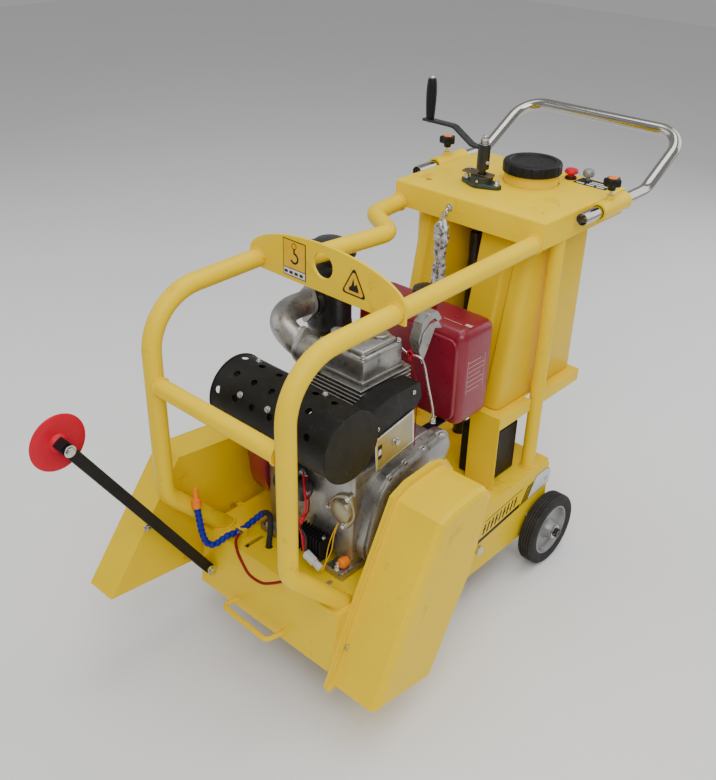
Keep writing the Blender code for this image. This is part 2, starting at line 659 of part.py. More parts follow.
def rear_wheels():
    x0, x1 = REAR_WHEEL_X
    r = REAR_WHEEL_R
    profile = [(0.0133, x0 - 0.002), (0.022, x0 - 0.002), (0.022, x0 + 0.014), (0.060, x0 + 0.016),
               (0.068, x0), (r - 0.006, x0), (r, x0 + 0.006), (r, x1 - 0.006), (r - 0.006, x1),
               (0.068, x1), (0.060, x1 - 0.012),
                (0.022, x1 - 0.012), (0.019, x1 + 0.010), (0.0133, x1 + 0.010)]
    for side, sign in (("left", -1.0), ("right", 1.0)):
        bm = turned([(radius, sign * x) for radius, x in profile], "x", REAR_AXLE, 20)
        part("rear_wheel_" + side, bm, RUBBER, 0.7, pivot=(0.0, *REAR_AXLE))


def front_wheels():
    fy, fz = FRONT_AXLE
    axle = part("front_axle", rod("x", FRONT_AXLE, 0.010, -0.185, 0.185, 12), STEEL, 0.4, 1.0)
    top = DECK_Z - SHEET - GAP
    hanger = [(fy - 0.020, fz - 0.018), (fy + 0.020, fz - 0.018), (fy + 0.030, top), (fy - 0.030, top)]
    for side, sign in (("left", -1.0), ("right", 1.0)):
        x0, x1 = 0.110, 0.150
        profile = [(0.0112, x0 - 0.004), (0.020, x0 - 0.004), (0.052, x0 + 0.004), (0.056, x0),
                   (FRONT_WHEEL_R, x0 + 0.004), (FRONT_WHEEL_R, x1 - 0.004), (0.056, x1),
                   (0.052, x1 - 0.004), (0.020, x1 + 0.004), (0.0112, x1 + 0.004)]
        bm = turned([(r, sign * x) for r, x in profile], "x", FRONT_AXLE, 20)
        part("front_wheel_" + side, bm, RUBBER, 0.7, pivot=(0.0, fy, fz))
        x_in = 0.170 * sign
        join(axle, prism(hanger, "x", min(x_in, x_in + 0.006 * sign), max(x_in, x_in + 0.006 * sign)))


# ---------------------------------------------------------------- blade drive

def pulley(name, centre, radius, shaft_r, colour):
    x0, x1 = GROOVE_X[0] - 0.014, GROOVE_X[1] + 0.014
    profile = [(shaft_r + GAP, x0), (radius + 0.004, x0)]
    for g in GROOVE_X:
        profile += [(radius + 0.004, g - 0.008), (radius - 0.006, g - 0.0055),
                    (radius - 0.006, g + 0.0055), (radius + 0.004, g + 0.008)]
    profile += [(radius + 0.004, x1), (shaft_r + GAP, x1)]
    return part(name, turned(profile, "x", centre, 16), colour, 0.5, 0.7, pivot=(0.0, *centre))


def belt_loop(radius_a, radius_b, extra):
    return hull(circle(CRANK, radius_a + extra, 20) + circle(SHAFT, radius_b + extra, 20))


def blade_drive():
    pivot = (0.0, *SHAFT)
    shaft = part("blade_shaft", rod("x", SHAFT, SHAFT_R, -0.286, 0.318, 16), STEEL, 0.35, 1.0, pivot)
    join(shaft, rod("x", SHAFT, 0.030, -0.262, -0.252, 20))
    ring = [(SHAFT_R + GAP, -0.276), (0.030, -0.276), (0.030, -0.2662), (SHAFT_R + GAP, -0.2662)]
    part("blade_flange_outer", turned(ring, "x", SHAFT, 20), STEEL, 0.4, 1.0, pivot)
    join(shaft, rod("x", SHAFT, 0.020, -0.2863, -0.2763, 6))
    pulley("driven_pulley", SHAFT, DRIVEN_PULLEY_R, SHAFT_R, (0.25, 0.25, 0.25))
    pulley("drive_pulley", CRANK, DRIVE_PULLEY_R, CRANK_R, (0.25, 0.25, 0.25))

    inner_x = CHASSIS_X - SHEET - GAP
    for side, x0 in (("left", -inner_x), ("right", inner_x - 0.028)):
        ring = [(SHAFT_R + 0.0007, x0), (0.036, x0), (0.036, x0 + 0.028), (SHAFT_R + 0.0007, x0 + 0.028)]
        part("shaft_bearing_" + side, turned(ring, "x", SHAFT, 20), STEEL, 0.35, 1.0)
    for i, g in enumerate(GROOVE_X):
        outer = belt_loop(DRIVE_PULLEY_R, DRIVEN_PULLEY_R, 0.0040)
        hole = belt_loop(DRIVE_PULLEY_R, DRIVEN_PULLEY_R, 0.0040 - BELT_THICK)
        belt = part("drive_belt_%d" % (i + 1), prism(outer, "x", g - 0.0048, g + 0.0048), BLACK, 0.7)
        cut(belt, prism(hole, "x", g - 0.02, g + 0.02))


def belt_cover():
    x_in, x_out, wall = COVER_IN_X, 0.350, 0.003
    bm = prism(COVER, "x", x_in, x_out)
    round_edges(bm, edges_at(bm, "x", x_out), 0.014, 2)
    cover = part("belt_cover", bm, YELLOW, 0.3)
    join(cover, prism(grow(COVER, 0.012), "x", x_in, x_in + 0.002))
    cut(cover, prism(grow(COVER, -wall), "x", x_in - 0.01, x_out - 0.014))


def guard_outline(inset, floor=0.0):
    side = inset * 1.16
    shape = [(-0.330 + side, floor), (0.330 - side, floor), (0.152 - inset * 0.56, 0.298 - inset),
             (-0.152 + inset * 0.56, 0.298 - inset)]
    return turn_about(SHAFT, GUARD_TILT, shape)


def blade_guard():
    wall = 0.0025
    pivot = (0.0, *SHAFT)
    bm = prism(guard_outline(0.0), "x", GUARD_OUT_X, GUARD_IN_X)
    guard = part("blade_guard", bm, YELLOW, 0.3, pivot=pivot)
    inner = turn_about(SHAFT, GUARD_TILT, [(-0.360, -0.04), (0.360, -0.04), (0.330 - 1.16 * wall, 0.0),
                                           (0.152 - 0.56 * wall, 0.298 - wall),
                                           (-0.152 + 0.56 * wall, 0.298 - wall),
                                           (-0.330 + 1.16 * wall, 0.0)])
    cut(guard, prism(inner, "x", GUARD_OUT_X + wall, GUARD_IN_X - wall))
    cut(guard, rod("x", SHAFT, 0.036, GUARD_IN_X - 0.01, GUARD_IN_X + 0.01, 20))
    middle = GUARD_SLOT_MIDDLE
    swing = math.radians(15)
    slot = arc(SHAFT, GUARD_SLOT_R + 0.0065, middle - swing, middle + swing, 6)
    slot += arc(SHAFT, GUARD_SLOT_R - 0.0065, middle + swing, middle - swing, 6)
    cut(guard, prism(slot, "x", GUARD_IN_X - 0.01, GUARD_IN_X + 0.01))
    post = turn_about(SHAFT, GUARD_TILT, [(0.015, 0.297)])[0]
    join(guard, rod("z", (-0.272, post[0]), 0.006, post[1] - 0.001, post[1] + 0.045, 8))


# ---------------------------------------------------------------- guide arm

def guide_arm():
    py, pz = ARM_PIVOT
    ty, tz = ARM_TIP
    length = math.hypot(ty - py, tz - pz)
    angle = math.atan2(tz - pz, ty - py)
    half = 0.012
    pivot = (0.0, py, pz)
    corners = turn_about(ARM_PIVOT, angle, [(length + 0.014, -half), (length + 0.014, half)])
    outline = hull(circle(ARM_PIVOT, half, 16, angle) + corners)
    arm = part("guide_arm", prism(outline, "x", *ARM_X), BLACK, 0.5, pivot=pivot)
    cut(arm, rod("x", ARM_PIVOT, 0.0060, ARM_X[0] - 0.01, ARM_X[1] + 0.01, 12))
    join(arm, rod("x", ARM_TIP, 0.0052, ARM_X[0] - 0.020, ARM_X[1] + 0.004, 12))
    join(arm, rod("x", ARM_TIP, 0.0095, ARM_X[1] - 0.001, ARM_X[1] + 0.007, 6))

    x0, x1 = ARM_X[0] - 0.020, ARM_X[0] - 0.001
    xm = (x0 + x1) / 2
    profile = [(0.0060, x0), (0.016, x0), (0.018, xm - 0.004), (GUIDE_WHEEL_R, xm - 0.002),
               (GUIDE_WHEEL_R, xm + 0.002), (0.018, xm + 0.004), (0.016, x1), (0.0060, x1)]
    part("guide_wheel", turned(profile, "x", ARM_TIP, 20), (0.6, 0.01, 0.03), 0.3, pivot=(0.0, ty, tz))


# ---------------------------------------------------------------- engine

def engine_block():
    block = part("engine_block", box((-0.112, 0.225, DECK_Z + 0.014), (0.1500, 0.480, 0.560), 0.012, 2),
                 CAST, 0.4, 0.8)
    for x0 in (-0.112, 0.100):
        join(block, box((x0, 0.196, DECK_Z + GAP), (x0 + 0.050, 0.515, DECK_Z + 0.022)))
    cut(block, rod("x", CRANK, 0.020, -0.15, 0.20))

    lobes = (circle(CRANK, 0.092, 20) + circle((0.475, 0.520), 0.045, 12)
             + circle((0.300, 0.370), 0.062, 12))
    outline = hull(lobes)
    bm = prism(outline, "x", 0.1503, 0.186)
    round_edges(bm, edges_at(bm, "x", 0.186), 0.008, 2)
    case = part("engine_side_case", bm, CAST, 0.35, 0.8)
    cut(case, rod("x", CRANK, 0.022, 0.14, 0.20))

    profile = [(0.0, 0.2247), (0.0125, 0.2247), (0.0125, 0.208), (0.009, 0.203), (0.0, 0.203)]
    part("oil_cap", turned(profile, "y", OIL_CAP, 16), (0.85, 0.30, 0.0), 0.45,
         pivot=(OIL_CAP[0], 0.2247, OIL_CAP[1]))

    pivot = (0.0, *CRANK)
    part("crankshaft", rod("x", CRANK, CRANK_R, -0.165, 0.318, 16), STEEL, 0.35, 1.0, pivot)
    ring = [(CRANK_R + GAP, -0.158), (0.116, -0.158), (0.116, -0.122), (0.090, -0.122),
            (0.085, -0.140), (CRANK_R + GAP, -0.140)]
    part("flywheel", turned(ring, "x", CRANK, 20), CAST, 0.5, 0.7, pivot)


def flywheel_shroud():
    x_in, x_out = -0.1125, -0.205
    outer = [(0.138, x_in), (0.138, -0.165), (0.112, x_out), (0.020, x_out)]
    inner = [(0.020, x_out + 0.003), (0.110, x_out + 0.003), (0.135, -0.164), (0.135, x_in)]
    part("flywheel_shroud", turned(outer + inner, "x", CRANK, 24), RED, 0.3)


def cylinder_head():
    barrel = [(0.0, 0.5603), (0.070, 0.5603)]
    for i in range(3):
        z = 0.575 + 0.028 * i
        barrel += [(0.070, z), (0.058, z + 0.002), (0.058, z + 0.014), (0.070, z + 0.016)]
    barrel += [(0.070, 0.6597), (0.0, 0.6597)]
    part("engine_cylinder", turned(barrel, "z", (0.035, 0.350), 12), CAST, 0.5, 0.8)
    head = part("cylinder_head", box((-0.050, 0.272, 0.6600), (0.122, 0.430, 0.735), 0.010, 1),
                CAST, 0.4, 0.8)
    join(head, box((-0.020, 0.290, 0.720), (0.110, 0.415, 0.800), 0.012, 1))
    join(head, rod("x", INTAKE_PORT, 0.033, -0.050, 0.010, 16))


def exhaust():
    my, mz = MUFFLER
    x0, x1, r = -0.132, 0.198, 0.075
    shell = [(0.0, x1), (r - 0.006, x1), (r, x1 - 0.006), (r, x0), (r - 0.002, x0),
             (r - 0.002, x1 - 0.007), (r - 0.007, x1 - 0.002), (0.0, x1 - 0.002)]
    shield = part("muffler_shield", turned(shell, "x", MUFFLER, 24), BLACK, 0.35)
    can = [(0.0, x0 + 0.004), (0.055, x0 + 0.004), (0.060, x0 + 0.010), (0.060, x1 - 0.020),
           (0.055, x1 - 0.012), (0.0, x1 - 0.012)]
    muffler = part("muffler", turned(can, "x", MUFFLER, 16), (0.05, 0.05, 0.05), 0.6, 0.5)
    cut(muffler, rod("x", MUFFLER, 0.052, x0 + 0.007, x1, 12))
    outline = [(0.231, 0.655), (0.375, 0.665), (0.400, 0.690), (0.392, 0.722), (0.300, 0.728),
               (0.231, 0.710)]
    bm = prism(outline, "x", 0.1275, 0.176)
    round_edges(bm, edges_at(bm, "x", 0.176), 0.010, 1)
    join(shield, bm)


def intake():
    centre = (-0.182, 0.496)
    port_y, port_z = INTAKE_PORT
    route = [(-0.0503, port_y, port_z), (-0.085, 0.288, 0.768), (-0.120, 0.293, 0.782),
             (-0.150, 0.318, 0.786), (-0.176, 0.362, 0.782), (-0.186, 0.410, 0.776),
             (-0.184, 0.450, 0.772)]
    elbow = part("intake_elbow", swept(smooth_path(route, 3), 0.029, 12), CAST, 0.45, 0.7)
    flange = hull(circle(INTAKE_PORT, 0.034, 16) + circle((port_y, port_z + 0.040), 0.010, 8)
                  + circle((port_y, port_z - 0.040), 0.010, 8))
    join(elbow, prism(flange, "x", -0.0583, -0.0503))
    cut(elbow, box((-0.0503, 0.22, 0.64), (0.02, 0.38, 0.86)))
    cut(elbow, rod("z", centre, 0.0555, 0.65, 0.90, 24))

    body = [(0.0, 0.655), (0.046, 0.655), (0.054, 0.665), (0.054, 0.874), (0.0605, 0.876),
            (0.0605, 0.892), (0.036, 0.909), (0.0, 0.911)]
    part("air_cleaner", turned(body, "z", centre, 20), BLACK, 0.35)


def fuel_tank():
    low, high = (-0.150, 0.552, 0.530), (0.165, 0.676, 0.772)
    bm = box(low, high)
    bmesh.ops.recalc_face_normals(bm, faces=bm.faces)
    round_edges(bm, list(bm.edges), 0.024, 2)
    tank = part("fuel_tank", bm, RED, 0.25)
    cap_at = (0.012, 0.610)
    join(tank, rod("z", cap_at, 0.026, 0.757, 0.8000, 16))
    wall = 0.002
    room = box([v + wall for v in low], [v - wall for v in high], 0.022, 1)
    cut(tank, room)
    cut(tank, rod("z", cap_at, 0.020, 0.747, 0.810, 12))
    rings = []
    for z, radius in ((0.8003, 0.033), (0.818, 0.033), (0.822, 0.028)):
        rings.append([Vector((*p, z)) for p in circle(cap_at, radius, 20)])
    part("fuel_cap", loft(rings), BLACK, 0.45, pivot=(*cap_at, 0.8003))


# ---------------------------------------------------------------- hoses and small parts

def coolant_hose():
    path = smooth_path(HOSE_ROUTE, 2)
    part("coolant_hose", swept(path, HOSE_R, 8), (0.01, 0.02, 0.35), 0.35)
    tip = HOSE_ROUTE[-1]
    z0 = tip[2] + 0.001
    profile = [(0.0, z0), (0.010, z0), (0.011, z0 + 0.010), (0.0065, z0 + 0.020), (0.004, z0 + 0.045),
               (0.0, z0 + 0.045)]
    part("coolant_nozzle", turned(profile, "z", tip[:2], 12), (0.85, 0.30, 0.0), 0.35)


def feed_hose():
    part("water_feed_hose", swept(smooth_path(FEED_ROUTE, 3), 0.0035, 8), (0.25, 0.01, 0.01), 0.4)


side_plates()
chassis_sheet()
pull_handle()
cage()
lifting_plate()
tank_shelf()
battery()
water_tank()
console()
controls()
push_handle()
depth_screw()
swing_axle()
rear_wheels()
front_wheels()
blade_drive()
belt_cover()
blade_guard()
guide_arm()
engine_block()
flywheel_shroud()
cylinder_head()
exhaust()
intake()
fuel_tank()
coolant_hose()
feed_hose()
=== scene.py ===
"""Looks for the walk-behind concrete saw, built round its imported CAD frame."""
import math

import bmesh
import bpy
from mathutils import Matrix, Vector


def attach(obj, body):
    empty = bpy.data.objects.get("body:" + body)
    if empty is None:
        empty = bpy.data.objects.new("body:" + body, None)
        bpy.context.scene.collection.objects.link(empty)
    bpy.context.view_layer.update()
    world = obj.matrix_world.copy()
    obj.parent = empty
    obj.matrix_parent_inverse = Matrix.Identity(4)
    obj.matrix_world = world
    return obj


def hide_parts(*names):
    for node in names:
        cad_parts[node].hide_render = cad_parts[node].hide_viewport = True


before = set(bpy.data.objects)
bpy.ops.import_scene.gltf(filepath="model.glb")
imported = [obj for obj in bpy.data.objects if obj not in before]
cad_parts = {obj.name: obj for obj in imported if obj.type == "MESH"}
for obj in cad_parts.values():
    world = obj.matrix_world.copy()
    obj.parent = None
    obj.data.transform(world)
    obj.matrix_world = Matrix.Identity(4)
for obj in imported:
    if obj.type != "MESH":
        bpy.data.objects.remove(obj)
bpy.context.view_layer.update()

# Machine coordinates: x = 0 on the centre plane, y = 0 at the cage's front, z = 0 on the ground
SHIFT = Vector((-0.021, -0.5297, 0.0))
GAP = 0.0003
CAGE_X = 0.19
TUBE_R = 0.02
DECK_Z = 0.296
SHAFT = (0.185, 0.19)
CRANK = (0.355, 0.45)
SCREW = (-0.04, 0.862)
CONSOLE_Z = 0.985
HANDLE_X = 0.235
HANDLE_Z = 0.972
KNOB_Y = 0.98
NECK = (0.025, 0.975)
MUFFLER = (0.165, 0.683)
REAR_AXLE = (0.895, 0.1)
FRONT_AXLE = (0.3, 0.075)
ARM_PIVOT = (0.087, 0.21)
ARM_TIP = (-0.22, 0.692)
COVER = [(0.086, 0.13), (0.272, 0.098), (0.393, 0.32), (0.445, 0.5), (0.425, 0.528), (0.395, 0.536),
        (0.31, 0.532), (0.272, 0.518), (0.173, 0.321)]


# ------------------------------------------------------------------ materials

def finish(name, colour, rough, metal, vary, scale, rvar, bump, bscale=260.0, coat=0.0, second=None,
        amount=0.0, spots=30.0):
    """A finish with uneven colour and sheen, a fine relief, and patches of a second colour."""
    mat = bpy.data.materials.new(name)
    mat.use_nodes = True
    nodes, links = mat.node_tree.nodes, mat.node_tree.links
    shader = nodes["Principled BSDF"]
    shader.inputs["Metallic"].default_value = metal
    shader.inputs["Coat Weight"].default_value = coat
    shader.inputs["Specular IOR Level"].default_value = 0.5 if metal or coat else 0.2
    shader.inputs["Coat Roughness"].default_value = 0.12
    coords = nodes.new("ShaderNodeTexCoord").outputs["Object"]

    def noise(size, detail=3.0, rough_=0.55):
        node = nodes.new("ShaderNodeTexNoise")
        node.inputs["Scale"].default_value = size
        node.inputs["Detail"].default_value = detail
        node.inputs["Roughness"].default_value = rough_
        links.new(coords, node.inputs["Vector"])
        return node.outputs["Fac"]

    def ramp(value, low, high, out_low, out_high):
        node = nodes.new("ShaderNodeMapRange")
        for k, v in (("From Min", low), ("From Max", high), ("To Min", out_low), ("To Max", out_high)):
            node.inputs[k].default_value = v
        links.new(value, node.inputs["Value"])
        return node.outputs["Result"]

    def mix(fac, a, b):
        node = nodes.new("ShaderNodeMix")
        node.data_type = "RGBA"
        links.new(fac, node.inputs["Factor"])
        for socket, value in ((node.inputs["A"], a), (node.inputs["B"], b)):
            if isinstance(value, tuple):
                socket.default_value = (*value, 1.0)
            else:
                links.new(value, socket)
        return node.outputs["Result"]

    dark = tuple(c * (1 - vary) for c in colour)
    light = tuple(min(1.0, c * (1 + vary)) for c in colour)
    tone = mix(ramp(noise(scale), 0.3, 0.7, 0.0, 1.0), dark, light)
    if second:
        tone = mix(ramp(noise(spots, 6.0, 0.7), 0.62 - amount, 0.72 - amount, 0.0, 1.0), tone, second)
    links.new(tone, shader.inputs["Base Color"])
    low, high = max(0.03, rough - rvar), min(1.0, rough + rvar)
    links.new(ramp(noise(scale * 4.0, 5.0), 0.3, 0.7, low, high), shader.inputs["Roughness"])
    relief = nodes.new("ShaderNodeBump")
    relief.inputs["Strength"].default_value = bump
    relief.inputs["Distance"].default_value = 0.0006
    links.new(noise(bscale, 2.0), relief.inputs["Height"])
    links.new(relief.outputs["Normal"], shader.inputs["Normal"])
    return mat


YELLOW = finish("yellow_paint", (0.88, 0.6, 0.0), 0.36, 0.0, 0.04, 5.0, 0.08, 0.06, 420.0, 0.0,
        (0.72, 0.46, 0.0), 0.02, 12.0)
TANK = finish("yellow_plastic", (0.84, 0.56, 0.0), 0.42, 0.0, 0.06, 4.0, 0.08, 0.1, 300.0)
BLACK = finish("black_paint", (0.012, 0.012, 0.013), 0.33, 0.0, 0.25, 20.0, 0.1, 0.12, 500.0, 0.2,
        (0.03, 0.03, 0.03), 0.03, 90.0)
SHIELD = finish("shield_black", (0.009, 0.009, 0.008), 0.42, 0.0, 0.3, 12.0, 0.1, 0.2, 260.0, 0.0,
        (0.025, 0.023, 0.02), 0.04, 60.0)
PLASTIC = finish("black_plastic", (0.012, 0.012, 0.013), 0.42, 0.0, 0.2, 25.0, 0.08, 0.25, 900.0)
RUBBER = finish("tyre_rubber", (0.03, 0.029, 0.028), 0.72, 0.0, 0.25, 30.0, 0.1, 0.35, 500.0, 0.0,
        (0.07, 0.065, 0.06), 0.02, 50.0)
HUB = finish("hub_grey", (0.3, 0.3, 0.3), 0.45, 0.6, 0.2, 25.0, 0.1, 0.25, 350.0)
CAST = finish("cast_aluminium", (0.36, 0.35, 0.33), 0.36, 0.85, 0.18, 22.0, 0.12, 0.45, 420.0, 0.0,
        (0.17, 0.16, 0.15), 0.03, 40.0)
DARK_CAST = finish("dark_casting", (0.07, 0.07, 0.07), 0.5, 0.7, 0.3, 30.0, 0.12, 0.4, 380.0)
STEEL = finish("bright_steel", (0.6, 0.6, 0.59), 0.25, 1.0, 0.1, 40.0, 0.1, 0.15, 700.0)
ZINC = finish("zinc_plate", (0.4, 0.36, 0.23), 0.34, 0.9, 0.1, 18.0, 0.08, 0.12, 500.0, 0.0,
        (0.28, 0.27, 0.2), 0.0, 45.0)
CHROME = finish("chrome", (0.46, 0.45, 0.42), 0.14, 1.0, 0.03, 10.0, 0.03, 0.03, 600.0)
RED = finish("dark_red_paint", (0.24, 0.008, 0.026), 0.34, 0.0, 0.1, 8.0, 0.08, 0.08, 400.0, 0.15)
BRIGHT_RED = finish("red_plastic", (0.62, 0.008, 0.03), 0.35, 0.0, 0.08, 15.0, 0.08, 0.1, 400.0)
ORANGE = finish("orange_plastic", (0.9, 0.22, 0.01), 0.4, 0.0, 0.1, 30.0, 0.08, 0.15, 500.0)
BLUE = finish("blue_plastic", (0.008, 0.015, 0.3), 0.3, 0.0, 0.15, 40.0, 0.08, 0.1, 500.0)
GREEN = finish("dark_green_casting", (0.03, 0.045, 0.038), 0.48, 0.3, 0.25, 40.0, 0.12, 0.45, 420.0)
BRONZE = finish("bronze_plate", (0.2, 0.14, 0.07), 0.42, 0.9, 0.2, 40.0, 0.12, 0.2, 500.0)
HOSE_RED = finish("red_hose", (0.26, 0.008, 0.008), 0.4, 0.0, 0.15, 60.0, 0.08, 0.15, 700.0)
WHITE = finish("white_plastic", (0.72, 0.72, 0.7), 0.4, 0.0, 0.05, 40.0, 0.08, 0.1, 500.0)
WRAP = finish("bubble_wrap", (0.5, 0.5, 0.49), 0.2, 0.0, 0.45, 90.0, 0.12, 1.0, 150.0, 0.5,
        (0.07, 0.07, 0.07), 0.14, 110.0)
LABEL_BLACK = finish("label_black", (0.01, 0.01, 0.01), 0.35, 0.0, 0.2, 60.0, 0.05, 0.05, 500.0)
LABEL_YELLOW = finish("label_yellow", (0.8, 0.46, 0.01), 0.35, 0.0, 0.05, 60.0, 0.05, 0.05, 500.0)
LABEL_WHITE = finish("label_white", (0.7, 0.7, 0.72), 0.35, 0.0, 0.05, 60.0, 0.05, 0.05, 500.0)
PRINT = finish("pale_print", (0.6, 0.42, 0.4), 0.4, 0.0, 0.1, 60.0, 0.05, 0.05, 500.0)


# ------------------------------------------------------------------ mesh helpers

def place(axis, t, a, b):
    return {"x": Vector((t, a, b)), "y": Vector((a, t, b)), "z": Vector((a, b, t))}[axis]


def loft(rings):
    """A closed skin through rings that all have the same number of points."""
    bm = bmesh.new()
    loops = [[bm.verts.new(p) for p in ring] for ring in rings]
    count = len(loops[0])
    for low, high in zip(loops, loops[1:]):
        for i in range(count):
            j = (i + 1) % count
            bm.faces.new((low[i], low[j], high[j], high[i]))
    bm.faces.new(loops[0][::-1])
    bm.faces.new(loops[-1])
    bmesh.ops.recalc_face_normals(bm, faces=bm.faces)
    return bm


def prism(outline, axis, low, high):
    return loft([[place(axis, t, a, b) for a, b in outline] for t in (low, high)])


def bevel(bm, edges, width, segments):
    bmesh.ops.bevel(bm, geom=edges, offset=width, segments=segments, affect="EDGES", profile=0.5,
            clamp_overlap=True)
    return bm


def box(low, high, width=0.0, segments=3):
    (x0, y0, z0), (x1, y1, z1) = low, high
    bm = prism([(x0, y0), (x1, y0), (x1, y1), (x0, y1)], "z", z0, z1)
    return bevel(bm, list(bm.edges), width, segments) if width else bm


def edges_at(bm, axis, value):
    k = "xyz".index(axis)
    return [e for e in bm.edges if all(abs(v.co[k] - value) < 1e-6 for v in e.verts)]


def circle(centre, radius, sides):
    return [(centre[0] + radius * math.cos(math.tau * i / sides),
            centre[1] + radius * math.sin(math.tau * i / sides)) for i in range(sides)]


def arc(centre, radius, start, end, steps):
    return [(centre[0] + radius * math.cos(start + (end - start) * i / steps),
            centre[1] + radius * math.sin(start + (end - start) * i / steps)) for i in range(steps + 1)]


def rod(axis, centre, radius, low, high, sides=32):
    return prism(circle(centre, radius, sides), axis, low, high)


def turned(profile, axis, centre, sides=48):
    """Spin (radius, t) points about an axis: closed at radius 0, or else a closed ring."""
    bm = bmesh.new()
    loops = []
    for radius, t in profile:
        if radius == 0.0:
            loops.append([bm.verts.new(place(axis, t, *centre))])
        else:
            loops.append([bm.verts.new(place(axis, t, a, b)) for a, b in circle(centre, radius, sides)])
    pairs = list(zip(loops, loops[1:]))
    if len(loops[0]) > 1 and len(loops[-1]) > 1:
        pairs.append((loops[-1], loops[0]))
    for low, high in pairs:
        for i in range(sides):
            j = (i + 1) % sides
            if len(low) + len(high) == 2:
                break
            if len(low) == 1:
                bm.faces.new((low[0], high[j], high[i]))
            elif len(high) == 1:
                bm.faces.new((low[i], low[j], high[0]))
            else:
                bm.faces.new((low[i], low[j], high[j], high[i]))
    bmesh.ops.recalc_face_normals(bm, faces=bm.faces)
    return bm


def bent_path(corners, radius, steps=10):
    """Straight lines with each corner bent to a radius."""
    corners = [Vector(c) for c in corners]
    path = [corners[0]]
    for before, corner, after in zip(corners, corners[1:], corners[2:]):
        back, ahead = (before - corner).normalized(), (after - corner).normalized()
        half = back.angle(ahead) / 2
        reach = radius / math.tan(half)
        centre = corner + (back + ahead).normalized() * (radius / math.sin(half))
        first, last = corner + back * reach - centre, corner + ahead * reach - centre
        for i in range(steps + 1):
            path.append(centre + first.slerp(last, i / steps, first).normalized() * radius)
    path.append(corners[-1])
    return path


def smooth_path(points, steps=8):
    """A smooth curve through every point."""
    points = [Vector(p) for p in points]
    ends = [2 * points[0] - points[1]] + points + [2 * points[-1] - points[-2]]
    path = []
    for a, b, c, d in zip(ends, ends[1:], ends[2:], ends[3:]):
        for i in range(steps):
            t = i / steps
            path.append(0.5 * (2 * b + (c - a) * t + (2 * a - 5 * b + 4 * c - d) * t * t
                    + (3 * b - a - 3 * c + d) * t ** 3))
    path.append(points[-1])
    return path


def swept(path, radius, sides=28):
    """A tube along a path; radius may be a list with one value for each point."""
    rings = []
    radii = radius if isinstance(radius, list) else [radius] * len(path)
    ahead = (path[1] - path[0]).normalized()
    side = ahead.orthogonal().normalized()
    for i, point in enumerate(path):
        into = (point - path[max(i - 1, 0)]).normalized() if i else ahead
        out = (path[min(i + 1, len(path) - 1)] - point).normalized() if i < len(path) - 1 else into
        along = (into + out).normalized()
        side = (side - along * side.dot(along)).normalized()
        other = along.cross(side)
        rings.append([point + (side * math.cos(math.tau * k / sides) + other * math.sin(math.tau * k / sides))
                * radii[i] for k in range(sides)])
    return loft(rings)


def grow(outline, distance):
    """An outline drawn anticlockwise, moved outward by a distance."""
    points = [Vector(p) for p in outline]
    result = []
    for i, point in enumerate(points):
        into = (point - points[i - 1]).normalized()
        out = (points[(i + 1) % len(points)] - point).normalized()
        n1, n2 = Vector((into.y, -into.x)), Vector((out.y, -out.x))
        result.append(tuple(point + (n1 + n2) * (distance / (1.0 + n1.dot(n2)))))
    return result


def hull(points):
    """The outline of a taut band round the points."""
    points = sorted(set(points))

    def half(sequence):
        chain = []
        for p in sequence:
            while len(chain) > 1 and ((chain[-1][0] - chain[-2][0]) * (p[1] - chain[-2][1])
                    - (chain[-1][1] - chain[-2][1]) * (p[0] - chain[-2][0])) <= 1e-12:
                chain.pop()
            chain.append(p)
        return chain[:-1]

    return half(points) + half(points[::-1])


def turn_about(centre, angle, points):
    c, s = math.cos(angle), math.sin(angle)
    return [(centre[0] + y * c - z * s, centre[1] + y * s + z * c) for y, z in points]


def boolean(bm, tool, operation="DIFFERENCE", loose=False):
    """Combine two shapes; loose allows a first shape made of overlapping parts."""
    objs = []
    for source in (bm, tool):
        bmesh.ops.recalc_face_normals(source, faces=source.faces)
        mesh = bpy.data.meshes.new("tmp")
        source.to_mesh(mesh)
        source.free()
        obj = bpy.data.objects.new("tmp", mesh)
        bpy.context.scene.collection.objects.link(obj)
        objs.append(obj)
    mod = objs[0].modifiers.new("b", "BOOLEAN")
    mod.operation = operation
    mod.solver = "EXACT"
    mod.object = objs[1]
    mod.use_self = loose
    done = objs[0].evaluated_get(bpy.context.evaluated_depsgraph_get())
    mesh = done.to_mesh()
    result = bmesh.new()
    result.from_mesh(mesh)
    done.to_mesh_clear()
    for obj in objs:
        data = obj.data
        bpy.data.objects.remove(obj)
        bpy.data.meshes.remove(data)
    return result


def both(bm, *others):
    """Several separate shapes as one mesh."""
    for other in others:
        mesh = bpy.data.meshes.new("tmp")
        other.to_mesh(mesh)
        other.free()
        bm.from_mesh(mesh)
        bpy.data.meshes.remove(mesh)
    return bm


def toward(bm, centre, direction):
    """Move a shape built at the origin along +Z so that it points in a direction."""
    turn = Vector((0, 0, 1)).rotation_difference(Vector(direction).normalized()).to_matrix().to_4x4()
    bmesh.ops.transform(bm, matrix=Matrix.Translation(Vector(centre)) @ turn, verts=bm.verts)
    return bm


def piece(name, bm, mat, body="frame", replaces=(), edge=0.0, angle=35.0):
    """One named detail: its mesh, finish and softened edges, and the body that it rides on."""
    bmesh.ops.translate(bm, verts=bm.verts, vec=SHIFT)
    mesh = bpy.data.meshes.new(name)
    bm.to_mesh(mesh)
    bm.free()
    obj = bpy.data.objects.new(name, mesh)
    bpy.context.scene.collection.objects.link(obj)
    mesh.materials.append(mat)
    mesh.shade_smooth()
    mesh.set_sharp_from_angle(angle=math.radians(angle))
    if edge:
        soften(obj, edge)
    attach(obj, body)
    if replaces:
        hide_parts(*replaces)
    return obj


